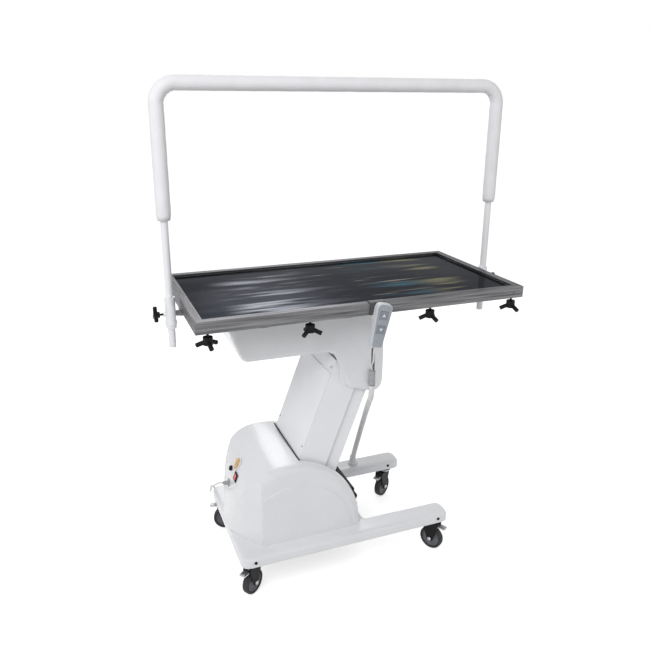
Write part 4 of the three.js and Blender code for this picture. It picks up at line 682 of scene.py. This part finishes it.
def make_foam():
    path = gantry_path()
    last = len(path) - 1

    def radius(i, angle, normal, side):
        from_end = min(i, last - i)
        closing = FOAM_CLOSING if from_end == 0 else 1.0
        into_bend = (from_end - FOAM_STRAIGHT_STEPS) / FOAM_BEND_STEPS
        crease = 0.0
        if 0 <= into_bend <= 1:
            outward = normal * math.cos(angle) + side * math.sin(angle)
            towards = Vector((math.copysign(1, -path[i].x), 0, -1)).normalized().dot(outward)
            wave = 0.5 - 0.5 * math.cos(2 * math.pi * FOAM_CREASES * into_bend)
            crease = FOAM_CREASE_DEPTH * wave * max(0, towards)
        ripple = FOAM_RIPPLE * math.sin(i * 1.7) * math.sin(3 * angle + i * 0.6)
        return FOAM_RADIUS * closing - crease + ripple

    mesh = swept_mesh("foam_sleeve", path, radius, FOAM_SIDES)
    foam = new_piece("foam_sleeve", mesh, "foam", "gantry")
    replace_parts(foam, "gantry_foam")


# Casters

def make_wheel(corner):
    spin = joints[f"roll_{corner}"]
    centre, axis = Vector(spin["pos_m"]), Vector(spin["axis"])
    rings = (("tyre", TYRE_PROFILE, "rubber", "black_rubber"), ("disc", DISC_PROFILE, "disc", "grey_plastic"))
    for name, profile, material, slot in rings:
        mesh = turned_mesh(name, profile, centre, axis, WHEEL_SIDES, True)
        ring = new_piece(f"{name}_{corner}", mesh, material, f"wheel_{corner}")
        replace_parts(ring, f"caster_wheel_{corner}")


def make_fork_trim(corner):
    spin = joints[f"roll_{corner}"]
    centre, axis = Vector(spin["pos_m"]), Vector(spin["axis"])
    body = f"caster_{corner}"
    for label, way in (("out", 1), ("in", -1)):
        mesh = turned_mesh("axle_nut", NUT_PROFILE, centre + axis * way * NUT_PLACE, axis * way, NUT_SIDES)
        new_piece(f"axle_nut_{label}_{corner}", mesh, "screw", body)
    swivel = Vector(joints[f"swivel_{corner}"]["pos_m"])
    foot = Vector((swivel.x, swivel.y, 0))
    race = turned_mesh("swivel_race", RACE_PROFILE, foot, UP, RACE_SIDES)
    new_piece(f"swivel_race_{corner}", race, "zinc", body)


# Small fasteners

def screw(name, place, facing, radius, body, material="screw"):
    profile = [(share * radius, rise * radius) for share, rise in SCREW_PROFILE]
    new_piece(name, turned_mesh(name, profile, place, facing, SCREW_SIDES), material, body)


def arm_point(across, along, y):
    """A point by its place on the arm: across towards its back, along from the lower pivot."""
    x = ARM_PIVOT.x + along * math.sin(ARM_LEAN) + across * math.cos(ARM_LEAN)
    z = ARM_PIVOT.z + along * math.cos(ARM_LEAN) - across * math.sin(ARM_LEAN)
    return Vector((x, y, z))


def make_fasteners():
    front = Vector((-math.cos(ARM_LEAN), 0, math.sin(ARM_LEAN)))
    for i, (along, y) in enumerate(COVER_SCREWS):
        for label, way in (("near", 1), ("far", -1)):
            place = arm_point(COVER_FRONT, along * MM, way * y * MM + SHIFT.y)
            screw(f"cover_screw_{label}_{i}", place, front, COVER_SCREW_RADIUS, "lift_arm")
    for i, (x, y, way) in enumerate(SKIRT_SCREWS):
        place = at(x, y, SKIRT_SCREW_HEIGHT)
        screw(f"skirt_screw_{i}", place, (0, way, 0), SKIRT_SCREW_RADIUS, "base", "black")
    for label, y, way in (("near", tray_low.y, -1), ("far", tray_high.y, 1)):
        for i, x in enumerate(RIVET_X):
            place = Vector((x, y, RIM_TOP - RIVET_DROP))
            screw(f"rim_rivet_{label}_{i}", place, (0, way, 0), RIVET_RADIUS, "carriage", "rim")


# Nose fittings

def make_lamp():
    """White bezel ring and a domed amber lens in place of the lamp's solid."""
    slope = Vector(LAMP_FACING)
    seat = at(*LAMP_SEAT) + slope * LAMP_FLANGE
    bezel = turned_mesh("lamp_bezel", BEZEL_PROFILE, seat, slope)
    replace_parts(new_piece("lamp_bezel", bezel, "shell", "base"), "pilot_lamp")
    lens = turned_mesh("lamp_lens", LENS_PROFILE, seat, slope)
    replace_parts(new_piece("lamp_lens", lens, "amber", "base"), "pilot_lamp")


# Bellows

def make_bellows():
    """Pleated strip from the base up to the link, a closed sheet of even thickness."""
    low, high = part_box("slot_bellows")
    top_angle = math.atan2(high.z - BASE_TOP, low.x + BELLOWS_SHEET - DOME_CENTRE.x)
    count = 2 * BELLOWS_PLEATS * BELLOWS_STEPS
    outside, inside = [], []
    for i in range(count + 1):
        share = i / count
        angle = BELLOWS_START + (top_angle - BELLOWS_MARGIN) * share
        wave = 0.5 - 0.5 * math.cos(2 * math.pi * BELLOWS_PLEATS * share)
        bulge = BELLOWS_BULGE * math.sin(math.pi * share) ** 2
        radius = BELLOWS_REACH + bulge - BELLOWS_DEPTH * (1 - wave)
        way = Vector((math.cos(angle), 0, math.sin(angle)))
        outside.append(DOME_CENTRE + way * radius)
        inside.append(DOME_CENTRE + way * (radius - BELLOWS_SHEET))
    rim = outside + inside[::-1]
    points = [spot + Vector((0, y, 0)) + SHIFT for y in (-BELLOWS_HALF, BELLOWS_HALF) for spot in rim]
    size = len(rim)
    faces = [(i, (i + 1) % size, size + (i + 1) % size, size + i) for i in range(size)]
    for i in range(count):
        a, b, c, d = i, i + 1, size - 2 - i, size - 1 - i
        faces.append((d, c, b, a))
        faces.append((size + a, size + b, size + c, size + d))
    mesh = mesh_from("bellows_skirt", points, faces)
    skirt = new_piece("bellows_skirt", mesh, "rubber", None)
    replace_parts(skirt, "slot_bellows")
    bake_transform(skirt)


# Painted shade: a black rubber rod laid in the slot's front gap to darken it
def make_slot_gap_shade():
    x, z = GAP_SHADE_PLACE
    path = [at(x, GAP_SHADE_HALF * (2 * i / GAP_SHADE_STEPS - 1), z) for i in range(GAP_SHADE_STEPS + 1)]
    mesh = swept_mesh("slot_gap_shade", path, even(GAP_SHADE_RADIUS), GAP_SHADE_SIDES)
    new_piece("slot_gap_shade", mesh, "rubber", "base")


# Handset marks

def make_key_marks():
    for name, way in (("up", 1), ("down", -1)):
        low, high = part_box(f"button_{name}")
        centre = (low + high) / 2
        along = Vector((math.sin(MARK_TILT), 0, math.cos(MARK_TILT))) * way
        aside = Vector((math.cos(MARK_TILT), 0, -math.sin(MARK_TILT))) * MARK_HALF
        front = Vector((centre.x, low.y, centre.z))
        back = front - along * MARK_BACK
        flat = [front + along * MARK_TIP, back + aside, back - aside]
        raised = [point + Vector((0, -MARK_RISE, 0)) for point in flat]
        mesh = mesh_from("key_mark", flat + raised, MARK_FACES)
        mark = new_piece(f"key_mark_{name}", mesh, "mark", f"button_{name}")
        mark.data.polygons.foreach_set("use_smooth", [False] * len(mark.data.polygons))


# CAD nodes that keep their shape

def paint_nodes():
    paint("tray", "tray", width=0.0006)
    nodes["tray"].data.materials.append(materials["rim"])
    nodes["tray"].data.materials.append(materials["rim_end"])
    for face in nodes["tray"].data.polygons:
        between = abs(face.center.x) < WELL_HALF_X
        inside = between and abs(face.center.y - SHIFT.y) < WELL_HALF_Y
        if inside and face.center.z > RIM_BOTTOM + SHEET_RISE:
            face.material_index = 0
        else:
            face.material_index = 1 if between or abs(face.normal.y) > FACING_LIMIT else 2
    paint("frame", "top_frame", "base_frame", "pivot_bracket", "actuator_body")
    paint("paint", "lift_arm", "arm_cover", "parallel_link", "carriage_bracket", width=0.0015)
    paint("paint", "gantry_tube", "socket_left", "socket_right", width=0.0008, angle=50)
    paint("shell", "base_shell", "motor_cover", "under_housing", width=0.0015, angle=40)
    paint("zinc", "lower_arm_pin", "lower_link_pin", "upper_arm_pin", "upper_link_pin", width=0.0006)
    paint("zinc", "actuator_rod", width=0.0006)
    paint("black", "fuse_holder", "rocker_bezel", "clamp_knob_left", "clamp_knob_right", width=0.0008)
    paint("gland", "cord_gland", width=0.0008)
    paint("dark", "handset_hanger", "control_box", width=0.0008)
    paint("red", "rocker", width=0.0008)
    paint("handset", "handset_back", width=0.001)
    paint("panel", "handset_face", width=0.0006)
    paint("keys", "button_up", "button_down", width=0.0012)
    for side in ("near", "far"):
        paint("black", *[f"tie_knob_{side}_{i}" for i in (1, 2, 3, 4)], width=0.001)
    for corner in CORNERS:
        paint("black", f"caster_fork_{corner}", width=0.0006)
        paint("zinc", f"brake_pedal_{corner}", width=0.0008)


# Stage

def make_stage():
    scene = bpy.context.scene
    scene.view_settings.view_transform = "Standard"
    bpy.ops.mesh.primitive_plane_add(size=FLOOR_SIZE, location=(0, 0, FLOOR_HEIGHT))
    floor = bpy.context.object
    floor.name = "floor"
    material, tree_nodes, tree_links = new_material("floor_white")
    shader = tree_nodes["Principled BSDF"]
    shader.inputs["Base Color"].default_value = FLOOR_COLOUR
    shader.inputs["Roughness"].default_value = FLOOR_ROUGHNESS
    shader.inputs["Emission Color"].default_value = WHITE
    rays = tree_nodes.new("ShaderNodeLightPath")
    seen = tree_nodes.new("ShaderNodeMath")
    seen.operation = "ADD"
    seen.use_clamp = True
    tree_links.new(rays.outputs["Is Camera Ray"], seen.inputs[0])
    tree_links.new(rays.outputs["Is Glossy Ray"], seen.inputs[1])
    level = tree_nodes.new("ShaderNodeMath")
    level.operation = "MULTIPLY"
    level.inputs[1].default_value = FLOOR_GLOW
    tree_links.new(seen.outputs["Value"], level.inputs[0])
    tree_links.new(level.outputs["Value"], shader.inputs["Emission Strength"])
    floor.data.materials.append(material)
    make_world(scene)
    for name, row in LAMPS.items():
        add_area(name, *row)


def make_world(scene):
    world = bpy.data.worlds.new("studio")
    scene.world = world
    world.use_nodes = True
    tree_nodes, tree_links = world.node_tree.nodes, world.node_tree.links
    background = tree_nodes["Background"]
    background.inputs["Color"].default_value = WHITE
    rays = tree_nodes.new("ShaderNodeLightPath")
    first = tree_nodes.new("ShaderNodeMath")
    first.operation = "ADD"
    second = tree_nodes.new("ShaderNodeMath")
    second.operation = "ADD"
    second.use_clamp = True
    tree_links.new(rays.outputs["Is Camera Ray"], first.inputs[0])
    tree_links.new(rays.outputs["Is Glossy Ray"], first.inputs[1])
    tree_links.new(first.outputs["Value"], second.inputs[0])
    tree_links.new(rays.outputs["Is Transmission Ray"], second.inputs[1])
    strength = tree_nodes.new("ShaderNodeMapRange")
    strength.inputs["To Min"].default_value = WORLD_LIGHT
    strength.inputs["To Max"].default_value = 1.0
    tree_links.new(second.outputs["Value"], strength.inputs["Value"])
    tree_links.new(strength.outputs["Result"], background.inputs["Strength"])


def add_area(name, place, target, size, power):
    data = bpy.data.lights.new(name, "AREA")
    data.shape = "DISK"
    data.size = size
    data.energy = power
    lamp = bpy.data.objects.new(name, data)
    bpy.context.scene.collection.objects.link(lamp)
    lamp.location = place
    lamp.rotation_mode = "QUATERNION"
    lamp.rotation_quaternion = (Vector(target) - Vector(place)).to_track_quat("-Z", "Y")


make_camera()
make_mains()
make_conduit()
make_handset_lead()
paint_nodes()
make_foam()
for corner in CORNERS:
    make_wheel(corner)
    make_fork_trim(corner)
make_fasteners()
make_lamp()
make_bellows()
make_slot_gap_shade()
make_key_marks()
make_stage()
